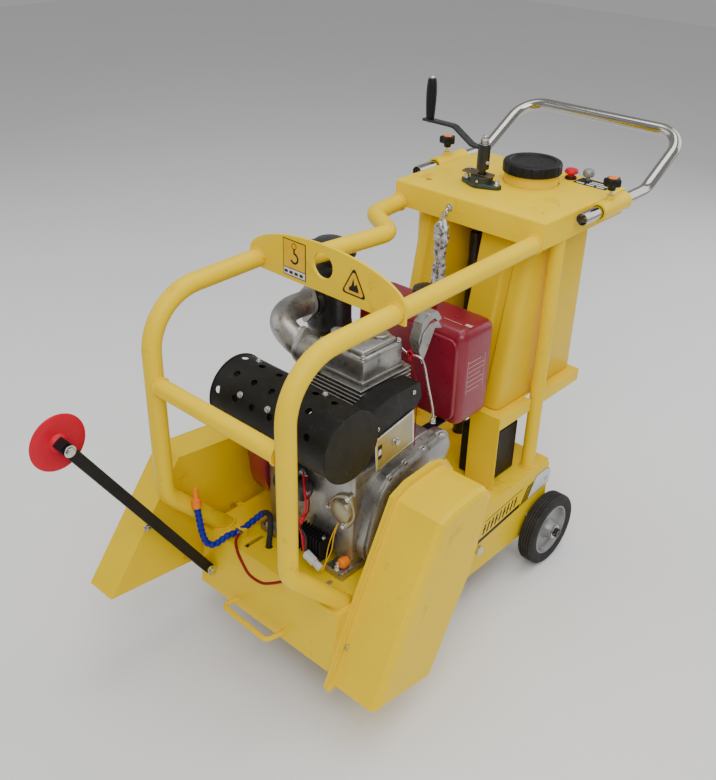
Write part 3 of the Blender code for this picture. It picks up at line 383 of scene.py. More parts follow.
def soften(obj, width, weld=False):
    if weld:
        join = obj.modifiers.new("weld", "WELD")
        join.merge_threshold = 0.00002
    mod = obj.modifiers.new("edges", "BEVEL")
    mod.width = width
    mod.segments = 2
    mod.limit_method = "ANGLE"
    mod.angle_limit = math.radians(40)
    mod.harden_normals = False


def hexagon(centre, direction, across, height, shank=0.0):
    """A hexagon bolt head on a washer, standing on a surface at its centre."""
    r = across / math.sqrt(3)
    rings = [[Vector((k * r * math.cos(math.tau * (i + 0.5) / 6), k * r * math.sin(math.tau * (i + 0.5) / 6),
            z)) for i in range(6)] for k, z in ((1.0, 0.0), (1.0, height - 0.001), (0.86, height))]
    bm = loft(rings)
    both(bm, turned([(0.0, -0.0001), (r * 1.3, -0.0001), (r * 1.3, 0.0014), (0.0, 0.0014)], "z", (0.0, 0.0),
            24))
    if shank:
        both(bm, turned([(0.0, 0.0), (r * 0.5, 0.0), (r * 0.5, height + shank),
                (r * 0.4, height + shank + 0.001), (0.0, height + shank + 0.001)], "z", (0.0, 0.0), 16))
    return toward(bm, centre, direction)


def cap_screw(centre, direction, r, height):
    """A round screw head with a socket."""
    ring = [(0.0, height - 0.003), (r * 0.45, height - 0.003), (r * 0.45, height), (r - 0.001, height),
            (r, height - 0.001), (r, 0.0), (0.0, 0.0)]
    return toward(turned(ring, "z", (0.0, 0.0), 20), centre, direction)


def bead(path, radius=0.0022, ripple=0.0006):
    """A weld bead along a path."""
    return swept(path, [radius + ripple * math.sin(i * 1.9) for i in range(len(path))], 8)


def ring_path(centre, axis, radius, count=48):
    return [place(axis, centre[0], centre[1] + radius * math.cos(math.tau * i / count),
            centre[2] + radius * math.sin(math.tau * i / count)) for i in range(count + 1)]


# ------------------------------------------------------------------ camera, light and floor

def studio():
    data = bpy.data.cameras.new("camera")
    camera = bpy.data.objects.new("camera", data)
    bpy.context.scene.collection.objects.link(camera)
    a, e, roll = math.radians(41.789), math.radians(30.417), math.radians(1.472)
    ahead = Vector((-math.sin(a) * math.cos(e), math.cos(a) * math.cos(e), -math.sin(e)))
    right = Vector((math.cos(a), math.sin(a), 0.0))
    up = right.cross(ahead)
    right, up = right * math.cos(roll) + up * math.sin(roll), up * math.cos(roll) - right * math.sin(roll)
    turn = Matrix((right, up, -ahead)).transposed().to_4x4()
    camera.matrix_world = Matrix.Translation(Vector((1.205, -0.949, 1.694)) + SHIFT) @ turn
    data.sensor_width = 36.0
    data.lens = 43.67677
    data.clip_start = 0.05
    bpy.context.scene.camera = camera

    world = bpy.data.worlds.new("studio")
    world.use_nodes = True
    background = world.node_tree.nodes["Background"]
    background.inputs["Color"].default_value = (1.0, 1.0, 1.0, 1.0)
    background.inputs["Strength"].default_value = 0.36
    bpy.context.scene.world = world

    floor_mesh = bpy.data.meshes.new("floor")
    floor_mesh.from_pydata([(-9, -9, 0), (9, -9, 0), (9, 9, 0), (-9, 9, 0)], [], [(0, 1, 2, 3)])
    floor = bpy.data.objects.new("floor", floor_mesh)
    bpy.context.scene.collection.objects.link(floor)
    floor.location.z = -0.0005
    floor_mesh.materials.append(finish("floor_paint", (0.88, 0.88, 0.88), 0.75, 0.0, 0.01, 2.0, 0.05, 0.0))

    lamps = (("key", (1.8, -1.9, 3.0), 0.5, 2.4, 76.0), ("fill", (-2.8, -1.2, 1.9), 0.5, 2.6, 22.0),
            ("top", (0.2, 0.4, 3.6), 0.4, 2.8, 66.0), ("back", (0.8, 3.0, 1.8), 0.6, 2.4, 30.0))
    for name, at, aim_z, size, power in lamps:
        light = bpy.data.lights.new(name, "AREA")
        light.shape = "SQUARE"
        light.size = size
        light.energy = power
        lamp = bpy.data.objects.new(name, light)
        lamp.location = at
        lamp.rotation_euler = (Vector((0.0, 0.0, aim_z)) - Vector(at)).to_track_quat("-Z", "Y").to_euler()
        bpy.context.scene.collection.objects.link(lamp)


# ------------------------------------------------------------------ cage and chassis

def cage():
    end_y, foot, knee, x = 0.752 - GAP, (0.185, 0.262), 0.46, CAGE_X
    trim = box((-0.3, 0.05, 0.2), (0.3, 0.3, DECK_Z + GAP))
    right = [(x, *foot), (x, 0.0, knee), (x, 0.0, 0.919), (x, end_y, 0.932)]
    low = bent_path(right[:3], 0.07)[:-1]
    high = bent_path(right[1:], 0.12, 14)[1:]
    tube = boolean(swept(low + high, TUBE_R), trim)
    tube = boolean(tube, box((0.1, end_y, 0.86), (0.3, end_y + 0.06, 1.0)))
    piece("cage_right", tube, YELLOW, replaces=["cage_tube_right"])

    rise = (0.932 - 0.919) / end_y
    jog = [(-x, 0.325), (-0.115, 0.372), (-0.082, 0.585), (-0.186, 0.648), (-0.196, end_y)]
    jog = [(jx, jy, 0.919 + rise * jy) for jx, jy in jog]
    low = bent_path([(-x, *foot), (-x, 0.0, knee), (-x, 0.0, 0.919)], 0.07)[:-1]
    top = bent_path([(-x, 0.0, knee), (-x, 0.0, 0.919), jog[0]], 0.12, 14)[1:-1]
    back = bent_path([(-x, 0.0, 0.919)] + jog, 0.034, 7)[1:]
    trim = box((-0.3, 0.05, 0.2), (0.3, 0.3, DECK_Z + GAP))
    tube = boolean(swept(low + top + back, TUBE_R), trim)
    tube = boolean(tube, box((-0.3, end_y, 0.86), (-0.1, end_y + 0.06, 1.0)))
    tube = boolean(tube, rod("x", (0.0, 0.735), TUBE_R - 0.001, -x, x - TUBE_R - GAP), "UNION")
    piece("cage_left", tube, YELLOW, replaces=["cage_tube_left"])
    piece("crossbar_weld", both(bead(ring_path((-x + TUBE_R, 0.0, 0.735), "x", TUBE_R)),
            bead(ring_path((x - TUBE_R - 0.0005, 0.0, 0.735), "x", TUBE_R))), YELLOW)
    ends = both(bead(ring_path((end_y - 0.0018, -0.196, 0.932), "y", TUBE_R + 0.0008)),
            bead(ring_path((end_y - 0.0018, x, 0.932), "y", TUBE_R + 0.0008)))
    piece("cage_rear_welds", ends, YELLOW)

    for side, ux in (("left", -x), ("right", x)):
        post = rod("z", (ux, 0.851), 0.0175, DECK_Z + GAP, CONSOLE_Z - 0.004 - GAP)
        piece("rear_post_" + side, post, YELLOW, replaces=["rear_upright_" + side])
        weld = bead(ring_path((DECK_Z + 0.0018, ux, 0.851), "z", 0.0182), 0.0024)
        piece("rear_post_weld_" + side, weld, YELLOW)
        foot_weld = [Vector((ux + 0.0215 * math.cos(t), 0.153 + 0.029 * math.sin(t), DECK_Z + 0.0015))
                for t in [math.tau * i / 56 for i in range(57)]]
        piece("cage_foot_weld_" + side, bead(foot_weld, 0.0026), YELLOW)


def lifting_plate():
    y0, y1, half, low_z, ends_z, crown = 0.286, 0.292, 0.214, 0.904, 0.938, 0.068
    top = [(half * math.cos(math.pi * i / 60), ends_z + crown * math.sin(math.pi * i / 60))
            for i in range(61)]
    plate = prism([(-half, low_z), (half, low_z)] + top, "y", y0, y1)
    plate = boolean(plate, rod("y", (0.0, 0.962), 0.027, y0 - 0.01, y1 + 0.01, 40))
    tube_z = 0.919 + (0.932 - 0.919) * y0 / 0.752
    for x in (-CAGE_X, CAGE_X):
        plate = boolean(plate, rod("y", (x, tube_z), TUBE_R + 0.0008, y0 - 0.01, y1 + 0.01))
    piece("lifting_arch", plate, YELLOW, replaces=["lifting_plate"], edge=0.0012)
    for side, x in (("left", -CAGE_X), ("right", CAGE_X)):
        turns = [Vector((x + 0.0212 * math.cos(t), y0 - 0.0008, tube_z + 0.0212 * math.sin(t)))
                for t in [math.pi * (0.08 + 0.84 * i / 30) for i in range(31)]]
        piece("lifting_weld_" + side, bead(turns, 0.0022), YELLOW)

    y = y0 - 0.0006
    piece("hook_label", box((-0.112, y, 0.913), (-0.047, y0, 0.992), 0.0001, 1), LABEL_BLACK)
    piece("hook_label_field", box((-0.11, y - 0.0003, 0.931), (-0.049, y0, 0.99), 0.0001, 1), LABEL_YELLOW)
    piece("hook_label_strip", box((-0.11, y - 0.0003, 0.915), (-0.049, y0, 0.929), 0.0001, 1), LABEL_WHITE)
    shank = prism([(-0.0815, 0.963), (-0.0775, 0.963), (-0.0775, 0.975), (-0.0815, 0.975)], "y", y - 0.0006,
            y0)
    curve = arc((-0.0795, 0.954), 0.0125, math.pi / 2, -math.pi * 0.85, 24)
    inner = arc((-0.0795, 0.954), 0.008, -math.pi * 0.85, math.pi / 2, 24)
    both(shank, prism(curve + inner, "y", y - 0.0006, y0))
    ring = swept(ring_path((y - 0.0001, -0.0795, 0.98), "y", 0.0062, 24), 0.0009, 6)
    marks = [box((-0.108 + 0.0145 * i, y - 0.0006, 0.9185), (-0.0985 + 0.0145 * i, y0, 0.9245))
            for i in range(4)]
    piece("hook_label_mark", both(shank, ring, *marks), LABEL_BLACK)
    for name, mat, half, low, high, front, radius, steps in (
            ("warning_label", LABEL_BLACK, 0.033, 0.925, 0.985, y, 0.01, 5),
            ("warning_label_field", LABEL_YELLOW, 0.0275, 0.9285, 0.978, y - 0.0003, 0.009, 4)):
        sign = prism([(0.084 - half, low), (0.084 + half, low), (0.084, high)], "y", front, y0)
        corners = [e for e in sign.edges if abs(e.verts[0].co.y - e.verts[1].co.y) > 1e-5]
        piece(name, bevel(sign, corners, radius, steps), mat)
    mark = prism([(0.072, 0.9345), (0.097, 0.9345), (0.097, 0.939), (0.092, 0.952), (0.086, 0.946),
            (0.083, 0.962), (0.078, 0.945), (0.072, 0.941)], "y", y - 0.0006, y0)
    piece("warning_label_mark", mark, LABEL_BLACK)


def keep(name, mat, width=0.0):
    """A CAD node whose shape is right, with a finish and softened edges."""
    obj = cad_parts[name]
    obj.data.materials.clear()
    obj.data.materials.append(mat)
    if width:
        soften(obj, width, True)
    return obj


def chassis():
    for name in ("chassis_sheet", "side_plate_left", "side_plate_right", "tank_shelf", "blade_guard"):
        keep(name, YELLOW, 0.0012)
    keep("belt_cover", YELLOW, 0.0008)
    keep("front_axle", STEEL, 0.001)
    keep("swing_axle", BLACK, 0.001)
    keep("swing_pivot_rod", STEEL, 0.0006)
    keep("guide_arm", PLASTIC, 0.0012)
    keep("battery", PLASTIC, 0.001)
    for name in ("blade_shaft", "blade_flange_outer", "crankshaft", "shaft_bearing_left",
            "shaft_bearing_right"):
        keep(name, STEEL, 0.0006)
    for name in ("driven_pulley", "drive_pulley", "flywheel"):
        keep(name, DARK_CAST, 0.0006)
    for name in ("drive_belt_1", "drive_belt_2"):
        keep(name, RUBBER)

    path = bent_path([(-0.088, 0.106, 0.16), (-0.096, 0.06, 0.16), (0.055, 0.055, 0.16),
            (0.066, 0.101, 0.16)], 0.014, 8)
    slope = (0.115 - 0.095) / (DECK_Z - 0.142)
    face = [(0.095 + slope * (z - 0.142) - GAP, z) for z in (0.13, 0.2)]
    bar = boolean(swept(path, 0.006, 20), prism([face[0], (0.2, 0.13), (0.2, 0.2), face[1]], "x", -0.2, 0.2))
    piece("pull_rod", bar, YELLOW, replaces=["pull_handle"])
    for side, x in (("left", -0.0885), ("right", 0.0655)):
        weld = [Vector((x + 0.0065 * math.cos(t), 0.0965 + 0.0009 * math.sin(t), 0.16 + 0.0065 * math.sin(t)))
                for t in [math.tau * i / 24 for i in range(25)]]
        piece("pull_rod_weld_" + side, bead(weld, 0.0016, 0.0003), YELLOW)

    bolts = both(hexagon((0.2282, 0.1245, 0.214), (1, 0, 0), 0.014, 0.009),
            hexagon((0.2152, 0.838, 0.156), (1, 0, 0), 0.009, 0.009))
    piece("cover_bolts", bolts, STEEL, edge=0.0004)

    for i, (x, y) in enumerate((x, y) for y in (0.205, 0.505) for x in (-0.09, 0.127)):
        piece("engine_bolt_%d" % (i + 1), hexagon((x, y, DECK_Z + 0.0224), (0, 0, 1), 0.017, 0.01, 0.006),
                STEEL, edge=0.0005)
    side_label(0.2152)


def side_label(x):
    """Generic marks in a band that rises to the rear, three slanting stripes and a white patch."""
    def mark(points, depth=0.0004):
        return prism(points, "x", x - GAP, x + depth)

    def band(y, z):
        return z + 0.1 * (y - 0.6)

    def bar(y0, y1, low, high, lean=0.0):
        return mark([(y0, band(y0, low)), (y1, band(y1, low)), (y1 + lean, band(y1, high)),
                (y0 + lean, band(y0, high))])

    lines = bar(0.612, 0.792, 0.187, 0.197, 0.004)
    both(lines, bar(0.64, 0.8, 0.2395, 0.241))
    for i in range(9):
        y = 0.632 + 0.0165 * i
        both(lines, bar(y, y + 0.0055, 0.204, 0.232, 0.009))
        if i % 3 != 1:
            both(lines, bar(y + 0.0035, y + 0.0125, 0.215, 0.22))
    for y in (0.796, 0.806, 0.816):
        both(lines, bar(y, y + 0.0055, 0.187, 0.236, 0.03))
    piece("side_label_marks", lines, LABEL_BLACK)
    patch = [(0.83, 0.213), (0.926, 0.222), (0.926, 0.246)] + arc((0.906, 0.25), 0.02, 0.0, math.pi * 0.55,
            10)
    patch += [(0.862, 0.268)]
    piece("side_label_edge", mark(grow(patch, 0.0018), 0.0003), LABEL_BLACK)
    piece("side_label_patch", mark(patch, 0.0006), LABEL_WHITE)
    dots = both(mark([(0.9, 0.24), (0.918, 0.242), (0.918, 0.2435), (0.9, 0.2415)], 0.0008),
            mark([(0.902, 0.234), (0.92, 0.236), (0.92, 0.2375), (0.902, 0.2355)], 0.0008))
    piece("side_label_print", dots, LABEL_BLACK)


def guard_details():
    pivot = math.radians(-6.7)
    spots = turn_about(SHAFT, pivot, [(-0.235, 0.15), (0.235, 0.15)])
    bolts = both(*[hexagon((-0.2275, *spot), (1, 0, 0), 0.013, 0.007) for spot in spots])
    piece("guard_bolts", bolts, STEEL, "guard", edge=0.0004)
    rim = turn_about(SHAFT, pivot, [(-0.322, 0.01), (-0.152, 0.298), (0.152, 0.298), (0.322, 0.01)])
    for side, x in (("inner", -0.228), ("outer", -0.3066)):
        seam = [Vector((x, *p)) for p in rim]
        welds = both(*[swept([a, b], 0.0013, 8) for a, b in zip(seam, seam[1:])])
        piece("guard_weld_" + side, welds, YELLOW, "guard")


def cover_details():
    """The seam along the belt cover's lower half and its inspection screw."""
    x = 0.35
    seam = bead([Vector((x - 0.0018, 0.12 + 0.16 * i / 20, 0.215 + 0.012 * math.sin(i * 0.3)))
            for i in range(21)], 0.0012, 0.0002)
    piece("cover_seam", seam, YELLOW)
    piece("cover_screw", cap_screw((x - 0.003, 0.25, 0.16), (1, 0, 0), 0.004, 0.0026), STEEL)
    fold = grow(COVER, 0.0135)
    edge = [Vector((0.2295, y, z)) for y, z in fold + fold[:1]]
    piece("cover_flange_edge", swept(edge, 0.0013, 8), YELLOW)


# ------------------------------------------------------------------ console, handle and crank

def console():
    cx, y0, y1, lip, top, sheet = 0.212, 0.752, 1.1, 0.923, CONSOLE_Z, 0.004
    bm = box((-cx, y0, lip), (cx, y1, top))
    lower = set(edges_at(bm, "z", lip))
    bevel(bm, [e for e in bm.edges if e not in lower], 0.006, 4)
    tray = boolean(bm, box((-cx + sheet, y0 + sheet, lip - 0.01), (cx - sheet, y1 - sheet, top - sheet)))
    holes = rod("z", NECK, 0.068, top - 0.02, top + 0.01, 48)
    for centre, radius in (((-0.154, 0.807), 0.008), ((0.17, 0.804), 0.004), ((0.166, 0.875), 0.004),
            ((0.082, 1.062), 0.0085), ((0.12, 1.078), 0.0055), (SCREW, 0.013)):
        both(holes, rod("z", centre, radius, top - 0.02, top + 0.01, 24))
    tray = boolean(tray, holes)
    for x in (-HANDLE_X, HANDLE_X):
        weld = math.copysign(cx - 0.002, x)
        side = box((min(x, weld), 0.94, HANDLE_Z - 0.012), (max(x, weld), 1.04, HANDLE_Z - 0.004))
        tray = boolean(tray, side, "UNION")
        tray = boolean(tray, rod("y", (x, HANDLE_Z), 0.021, 0.93, 1.05, 36), "UNION")
        tray = boolean(tray, rod("z", (x, KNOB_Y), 0.009, HANDLE_Z + 0.018, HANDLE_Z + 0.028, 24), "UNION")
        tray = boolean(tray, rod("y", (x, HANDLE_Z), 0.0162, 0.92, 1.06, 36))
    piece("console_tray", tray, YELLOW, replaces=["console"], edge=0.0007)
    seams = both(*[swept([Vector((sx * 0.2095, y0 + 0.0015, lip + 0.001)),
            Vector((sx * 0.2095, y0 + 0.0015, top - 0.004))], 0.0014, 8) for sx in (-1, 1)])
    piece("console_corner_seams", seams, YELLOW)

    z = top + 0.0006
    panel = [(0.1, 1.09), (0.188, 1.09), (0.188, 1.042), (0.1, 1.042)]
    piece("control_label", prism(panel, "z", top - GAP, z), LABEL_BLACK)
    marks = both(*[box((0.106 + 0.027 * i, 1.047, top), (0.126 + 0.027 * i, 1.053, z + 0.0003))
            for i in range(3)])
    for i in range(2):
        both(marks, box((0.134, 1.06 + 0.011 * i, top), (0.182, 1.065 + 0.011 * i, z + 0.0003)))
    piece("control_label_marks", marks, LABEL_WHITE)
    eye = swept(ring_path((y0 - 0.014, -0.046, 0.945), "y", 0.0058, 32), 0.0022, 12)
    both(eye, hexagon((-0.046, y0, 0.955), (0, -1, 0), 0.012, 0.007),
            swept([Vector((-0.046, y0 - 0.005, 0.955)), Vector((-0.046, y0 - 0.014, 0.9508))], 0.0022, 12))
    piece("console_eyebolt", eye, STEEL)


def knob(name, x, body):
    z = HANDLE_Z + 0.028 + GAP
    rings = []
    for radius, lobe, height in ((0.0085, 0.0, 0.012), (0.01, 0.0, 0.02), (0.0165, 0.0025, 0.022),
            (0.018, 0.003, 0.024), (0.018, 0.003, 0.036), (0.0168, 0.0028, 0.0385), (0.0125, 0.0005, 0.04),
            (0.011, 0.0, 0.04)):
        ring = []
        for i in range(60):
            a = math.tau * i / 60
            r = radius + lobe * math.cos(5 * a)
            ring.append(Vector((x + r * math.cos(a), KNOB_Y + r * math.sin(a), z + height)))
        rings.append(ring)
    piece(name, loft(rings), PLASTIC, body, replaces=["clamp_" + name])
    cap = turned([(0.0, z + 0.042), (0.0085, z + 0.042), (0.0112, z + 0.0405), (0.0112, z + 0.0395),
            (0.0, z + 0.0395)], "z", (x, KNOB_Y), 36)
    piece(name + "_cap", cap, ORANGE, body)
    stud = turned([(0.0, z), (0.004, z), (0.004, z + 0.0125), (0.0, z + 0.0125)], "z", (x, KNOB_Y), 20)
    piece(name + "_stud", stud, STEEL, body)


def push_handle():
    corners = []
    for x in (-HANDLE_X, HANDLE_X):
        leg = [(x, 0.862, HANDLE_Z), (x, 1.15, HANDLE_Z), (x, 1.3246, 1.074)]
        corners += leg if x < 0 else leg[::-1]
    bar = swept(bent_path(corners, 0.07, 12), 0.0149, 36)
    for x in (-HANDLE_X, HANDLE_X):
        bar = boolean(bar, rod("y", (x, HANDLE_Z), 0.013, 0.85, 0.9))
    piece("handle_tube", bar, CHROME, "handle", replaces=["push_handle"], edge=0.0003)
    knob("knob_left", -HANDLE_X, "knob_left")
    knob("knob_right", HANDLE_X, "knob_right")


def controls():
    z = CONSOLE_Z
    mushroom = [(0.0, z - 0.015), (0.008, z - 0.015), (0.008, z + 0.013), (0.014, z + 0.0135),
            (0.0168, z + 0.016), (0.0168, z + 0.019), (0.014, z + 0.0235), (0.008, z + 0.0255),
            (0.0, z + 0.026)]
    piece("stop_mushroom", turned(mushroom, "z", (0.082, 1.062)), BRIGHT_RED, "stop",
            replaces=["stop_button"])
    collar = turned([(0.0088, z + GAP), (0.0145, z + GAP), (0.0145, z + 0.004), (0.0125, z + 0.006),
            (0.0088, z + 0.006)], "z", (0.082, 1.062))
    piece("stop_collar", collar, PLASTIC)
    pull = [(0.0, z - 0.03), (0.005, z - 0.03), (0.005, z + 0.01), (0.012, z + 0.011), (0.014, z + 0.014),
            (0.014, z + 0.022), (0.0115, z + 0.0265), (0.006, z + 0.0288), (0.0, z + 0.029)]
    piece("throttle_pull", turned(pull, "z", (0.12, 1.078)), HUB, "throttle", replaces=["throttle_knob"])


def crank():
    z = CONSOLE_Z
    outline = hull(circle((0.0, 0.0), 0.031, 48) + circle((-0.043, 0.0), 0.012, 24)
            + circle((0.043, 0.0), 0.012, 24))
    base = prism([(SCREW[0] + x, SCREW[1] + y) for x, y in outline], "z", z + GAP, z + 0.01)
    bevel(base, edges_at(base, "z", z + 0.01), 0.003, 3)
    base = boolean(base, rod("z", SCREW, 0.027, z + 0.005, z + 0.0245, 48), "UNION")
    base = boolean(base, rod("z", SCREW, 0.0118, z - 0.01, z + 0.04))
    piece("screw_flange", base, GREEN, replaces=["screw_bearing"], edge=0.0012)
    plate = prism([(SCREW[0] + a, SCREW[1] + b) for a, b in ((-0.05, -0.012), (0.028, -0.014), (0.034, 0.0),
            (0.026, 0.016), (-0.044, 0.021), (-0.054, 0.008))], "z", z + 0.0246, z + 0.0282)
    plate = boolean(plate, rod("z", SCREW, 0.0118, z, z + 0.04))
    piece("pawl_plate", plate, BRONZE, edge=0.0008)
    bolts = both(hexagon((SCREW[0] - 0.043, SCREW[1], z + 0.01), (0, 0, 1), 0.012, 0.008, 0.003),
            hexagon((SCREW[0] + 0.043, SCREW[1], z + 0.01), (0, 0, 1), 0.012, 0.008, 0.003),
            cap_screw((SCREW[0] - 0.042, SCREW[1] + 0.01, z + 0.0282), (0, 0, 1), 0.005, 0.005),
            cap_screw((SCREW[0] + 0.006, SCREW[1] - 0.0268, z + 0.016), (0.2, -1, 0), 0.0035, 0.003))
    piece("screw_flange_bolts", bolts, STEEL, edge=0.0004)

    bar = turned([(0.0, 0.56), (0.0085, 0.56), (0.0085, z + 0.04), (0.01, z + 0.04), (0.01, z + 0.1),
            (0.0, z + 0.1)], "z", SCREW, 28)
    thread = [Vector((SCREW[0] + 0.0087 * math.cos(math.tau * i / 16),
            SCREW[1] + 0.0087 * math.sin(math.tau * i / 16), 0.868 + 0.005 * i / 16)) for i in range(16 * 24)]
    piece("screw_bar", both(bar, swept([p for p in thread if p.z < z - 0.003], 0.0012, 6)), BLACK,
            "depth_crank", replaces=["lift_screw"])
    nut = both(hexagon((SCREW[0], SCREW[1], z + 0.0975), (0, 0, 1), 0.017, 0.012),
            turned([(0.0, z + 0.105), (0.006, z + 0.105), (0.006, z + 0.1165), (0.0045, z + 0.118),
            (0.0, z + 0.118)], "z", SCREW, 20), cap_screw((SCREW[0] + 0.0135, SCREW[1] - 0.0055, z + 0.058),
            (1, -0.4, 0), 0.0042, 0.006))
    piece("crank_nut", nut, STEEL, "depth_crank", edge=0.0004)

    arm_z = z + 0.085
    sleeve = rod("z", SCREW, 0.0148, z + 0.04, arm_z + 0.011, 36)
    line = [(0.012, arm_z), (-0.026, arm_z), (-0.036, arm_z + 0.002), (-0.086, arm_z + 0.032),
            (-0.096, arm_z + 0.034), (-0.18, arm_z + 0.034)]
    line = [(SCREW[0] + a, b) for a, b in line]
    flat = prism(line + [(a, b + 0.006) for a, b in line[::-1]], "y", SCREW[1] - 0.01, SCREW[1] + 0.01)
    sleeve = boolean(sleeve, flat, "UNION")
    piece("crank_lever", sleeve, BLACK, "depth_crank", replaces=["crank_arm"], edge=0.0012)
    grip = (SCREW[0] - 0.164, SCREW[1])
    z0 = arm_z + 0.04 + GAP
    profile = [(0.0, z0 - 0.009), (0.0038, z0 - 0.009), (0.0038, z0 + 0.0002), (0.0085, z0 + 0.0002),
            (0.01, z0 + 0.002), (0.0112, z0 + 0.02), (0.0124, z0 + 0.045), (0.0126, z0 + 0.062),
            (0.0118, z0 + 0.078), (0.0108, z0 + 0.088), (0.0095, z0 + 0.0935), (0.0, z0 + 0.0945)]
    piece("grip_sleeve", turned(profile, "z", grip), PLASTIC, "crank_handle", replaces=["crank_grip"])
    tip = turned([(0.0, z0 + 0.094), (0.0062, z0 + 0.094), (0.0062, z0 + 0.097), (0.0035, z0 + 0.0995),
            (0.0, z0 + 0.1)], "z", grip, 28)
    piece("grip_tip", tip, STEEL, "crank_handle")
    tube = turned([(0.0117, 0.207), (0.0163, 0.207), (0.0163, 0.79), (0.015, 0.792), (0.015, 0.866),
            (0.0142, 0.868), (0.0117, 0.868)], "z", SCREW, 32)
    both(tube, turned([(0.0, 0.146), (0.02, 0.146), (0.0204, 0.148), (0.0204, 0.208), (0.02, 0.21),
            (0.0, 0.21)], "z", SCREW, 32))
    piece("lift_sleeve", tube, BLACK, "lift_column", replaces=["lift_tube"])


def hanging_strut():
    """A gas strut left in its wrapping, hung from the console's eyebolt."""
    x, y, top, low = -0.046, 0.728, 0.934, 0.752
    rings, count = [], 90
    for i in range(count):
        t = i / (count - 1)
        z = top - (top - low) * t
        base = 0.0165 + 0.0022 * math.sin(t * 9.0) + 0.0012 * math.sin(t * 31.0)
        base *= min(1.0, 0.35 + 6.0 * t) * min(1.0, 0.35 + 9.0 * (1.0 - t))
        ring = []
        for k in range(40):
            a = math.tau * k / 40
            r = base + 0.0012 * math.sin(3 * a + t * 22.0) + 0.0006 * math.sin(9 * a - t * 70.0)
            ring.append(Vector((x + r * math.cos(a), y + 0.8 * r * math.sin(a), z)))
        rings.append(ring)
    piece("wrapped_strut", loft(rings), WRAP)
    eye = turned([(0.0, 0.934), (0.004, 0.934), (0.004, 0.952), (0.0, 0.952)], "z", (x, y + 0.003), 16)
    piece("strut_eye", eye, STEEL)


# ------------------------------------------------------------------ water tank

def rounded(points, radii, steps=5):
    """A closed outline with each corner rounded by its own radius."""
    result = []
    count = len(points)
    for i in range(count):
        p, before, after = (Vector(points[i]), Vector(points[i - 1]), Vector(points[(i + 1) % count]))
        if not radii[i]:
            result += [tuple(p)] * (steps + 1)
            continue
        back, ahead = (before - p).normalized(), (after - p).normalized()
        half = back.angle(ahead) / 2
        reach = radii[i] / math.tan(half)
        a, b = p + back * reach, p + ahead * reach
        for k in range(steps + 1):
            t = k / steps
            result.append(tuple(a.lerp(p, t).lerp(p.lerp(b, t), t)))
    return result


def water_tank():
    half, low_z, top_z, back = 0.165, 0.5052, 0.916, 1.045
    s0, s1, s2 = -0.07, 0.022, 0.895

    def plan(front, inset=0.0):
        f, h, b = front + inset, half - inset, back - inset
        rib = 0.007
        pts = [(-h, f), (-0.128, f), (-0.122, f + rib), (-0.104, f + rib), (-0.098, f), (s0, f), (s0, s2),
                (s1, s2), (s1, f), (0.094, f), (0.1, f + rib), (0.118, f + rib), (0.124, f), (h, f), (h, b),
                (-h, b)]
        r = 0.022
        radii = [r, 0.003, 0.003, 0.003, 0.003, 0.006, 0.01, 0.01, 0.006, 0.003, 0.003, 0.003, 0.003, r, r, r]
        return rounded(pts, radii)

    rings = []
    for z, inset in ((low_z, 0.006), (low_z + 0.002, 0.002), (low_z + 0.006, 0.0), (top_z - 0.008, 0.0),
            (top_z - 0.003, 0.002), (top_z, 0.007)):
        front = 0.716 + (0.795 - 0.716) * (z - low_z) / (top_z - low_z)
        rings.append([Vector((x, y, z)) for x, y in plan(front, inset)])
    body = loft(rings)
    bmesh.ops.remove_doubles(body, verts=body.verts, dist=0.00001)
    neck = turned([(0.061, top_z - 0.02), (0.0655, top_z - 0.02), (0.0655, 1.0), (0.064, 1.003),
            (0.064, 1.0085), (0.061, 1.0085)], "z", NECK, 64)
    piece("tank_body", body, TANK, replaces=["water_tank"], angle=50.0)
    piece("tank_neck", neck, TANK)

    rings = []
    for z, radius, rib in ((1.0103, 0.0695, 0.0), (1.0108, 0.0708, 0.0018), (1.03, 0.0706, 0.0018),
            (1.0335, 0.069, 0.0008), (1.0355, 0.0655, 0.0), (1.0358, 0.056, 0.0), (1.0325, 0.053, 0.0),
            (1.032, 0.02, 0.0)):
        ring = []
        for i in range(180):
            a = math.tau * i / 180
            r = radius - rib * max(0.0, math.cos(18 * a)) ** 6
            ring.append(Vector((NECK[0] + r * math.cos(a), NECK[1] + r * math.sin(a), z)))
        rings.append(ring)
    piece("tank_cap", loft(rings), PLASTIC, "tank_lid", replaces=["water_cap"])


# ------------------------------------------------------------------ wheels, guide arm

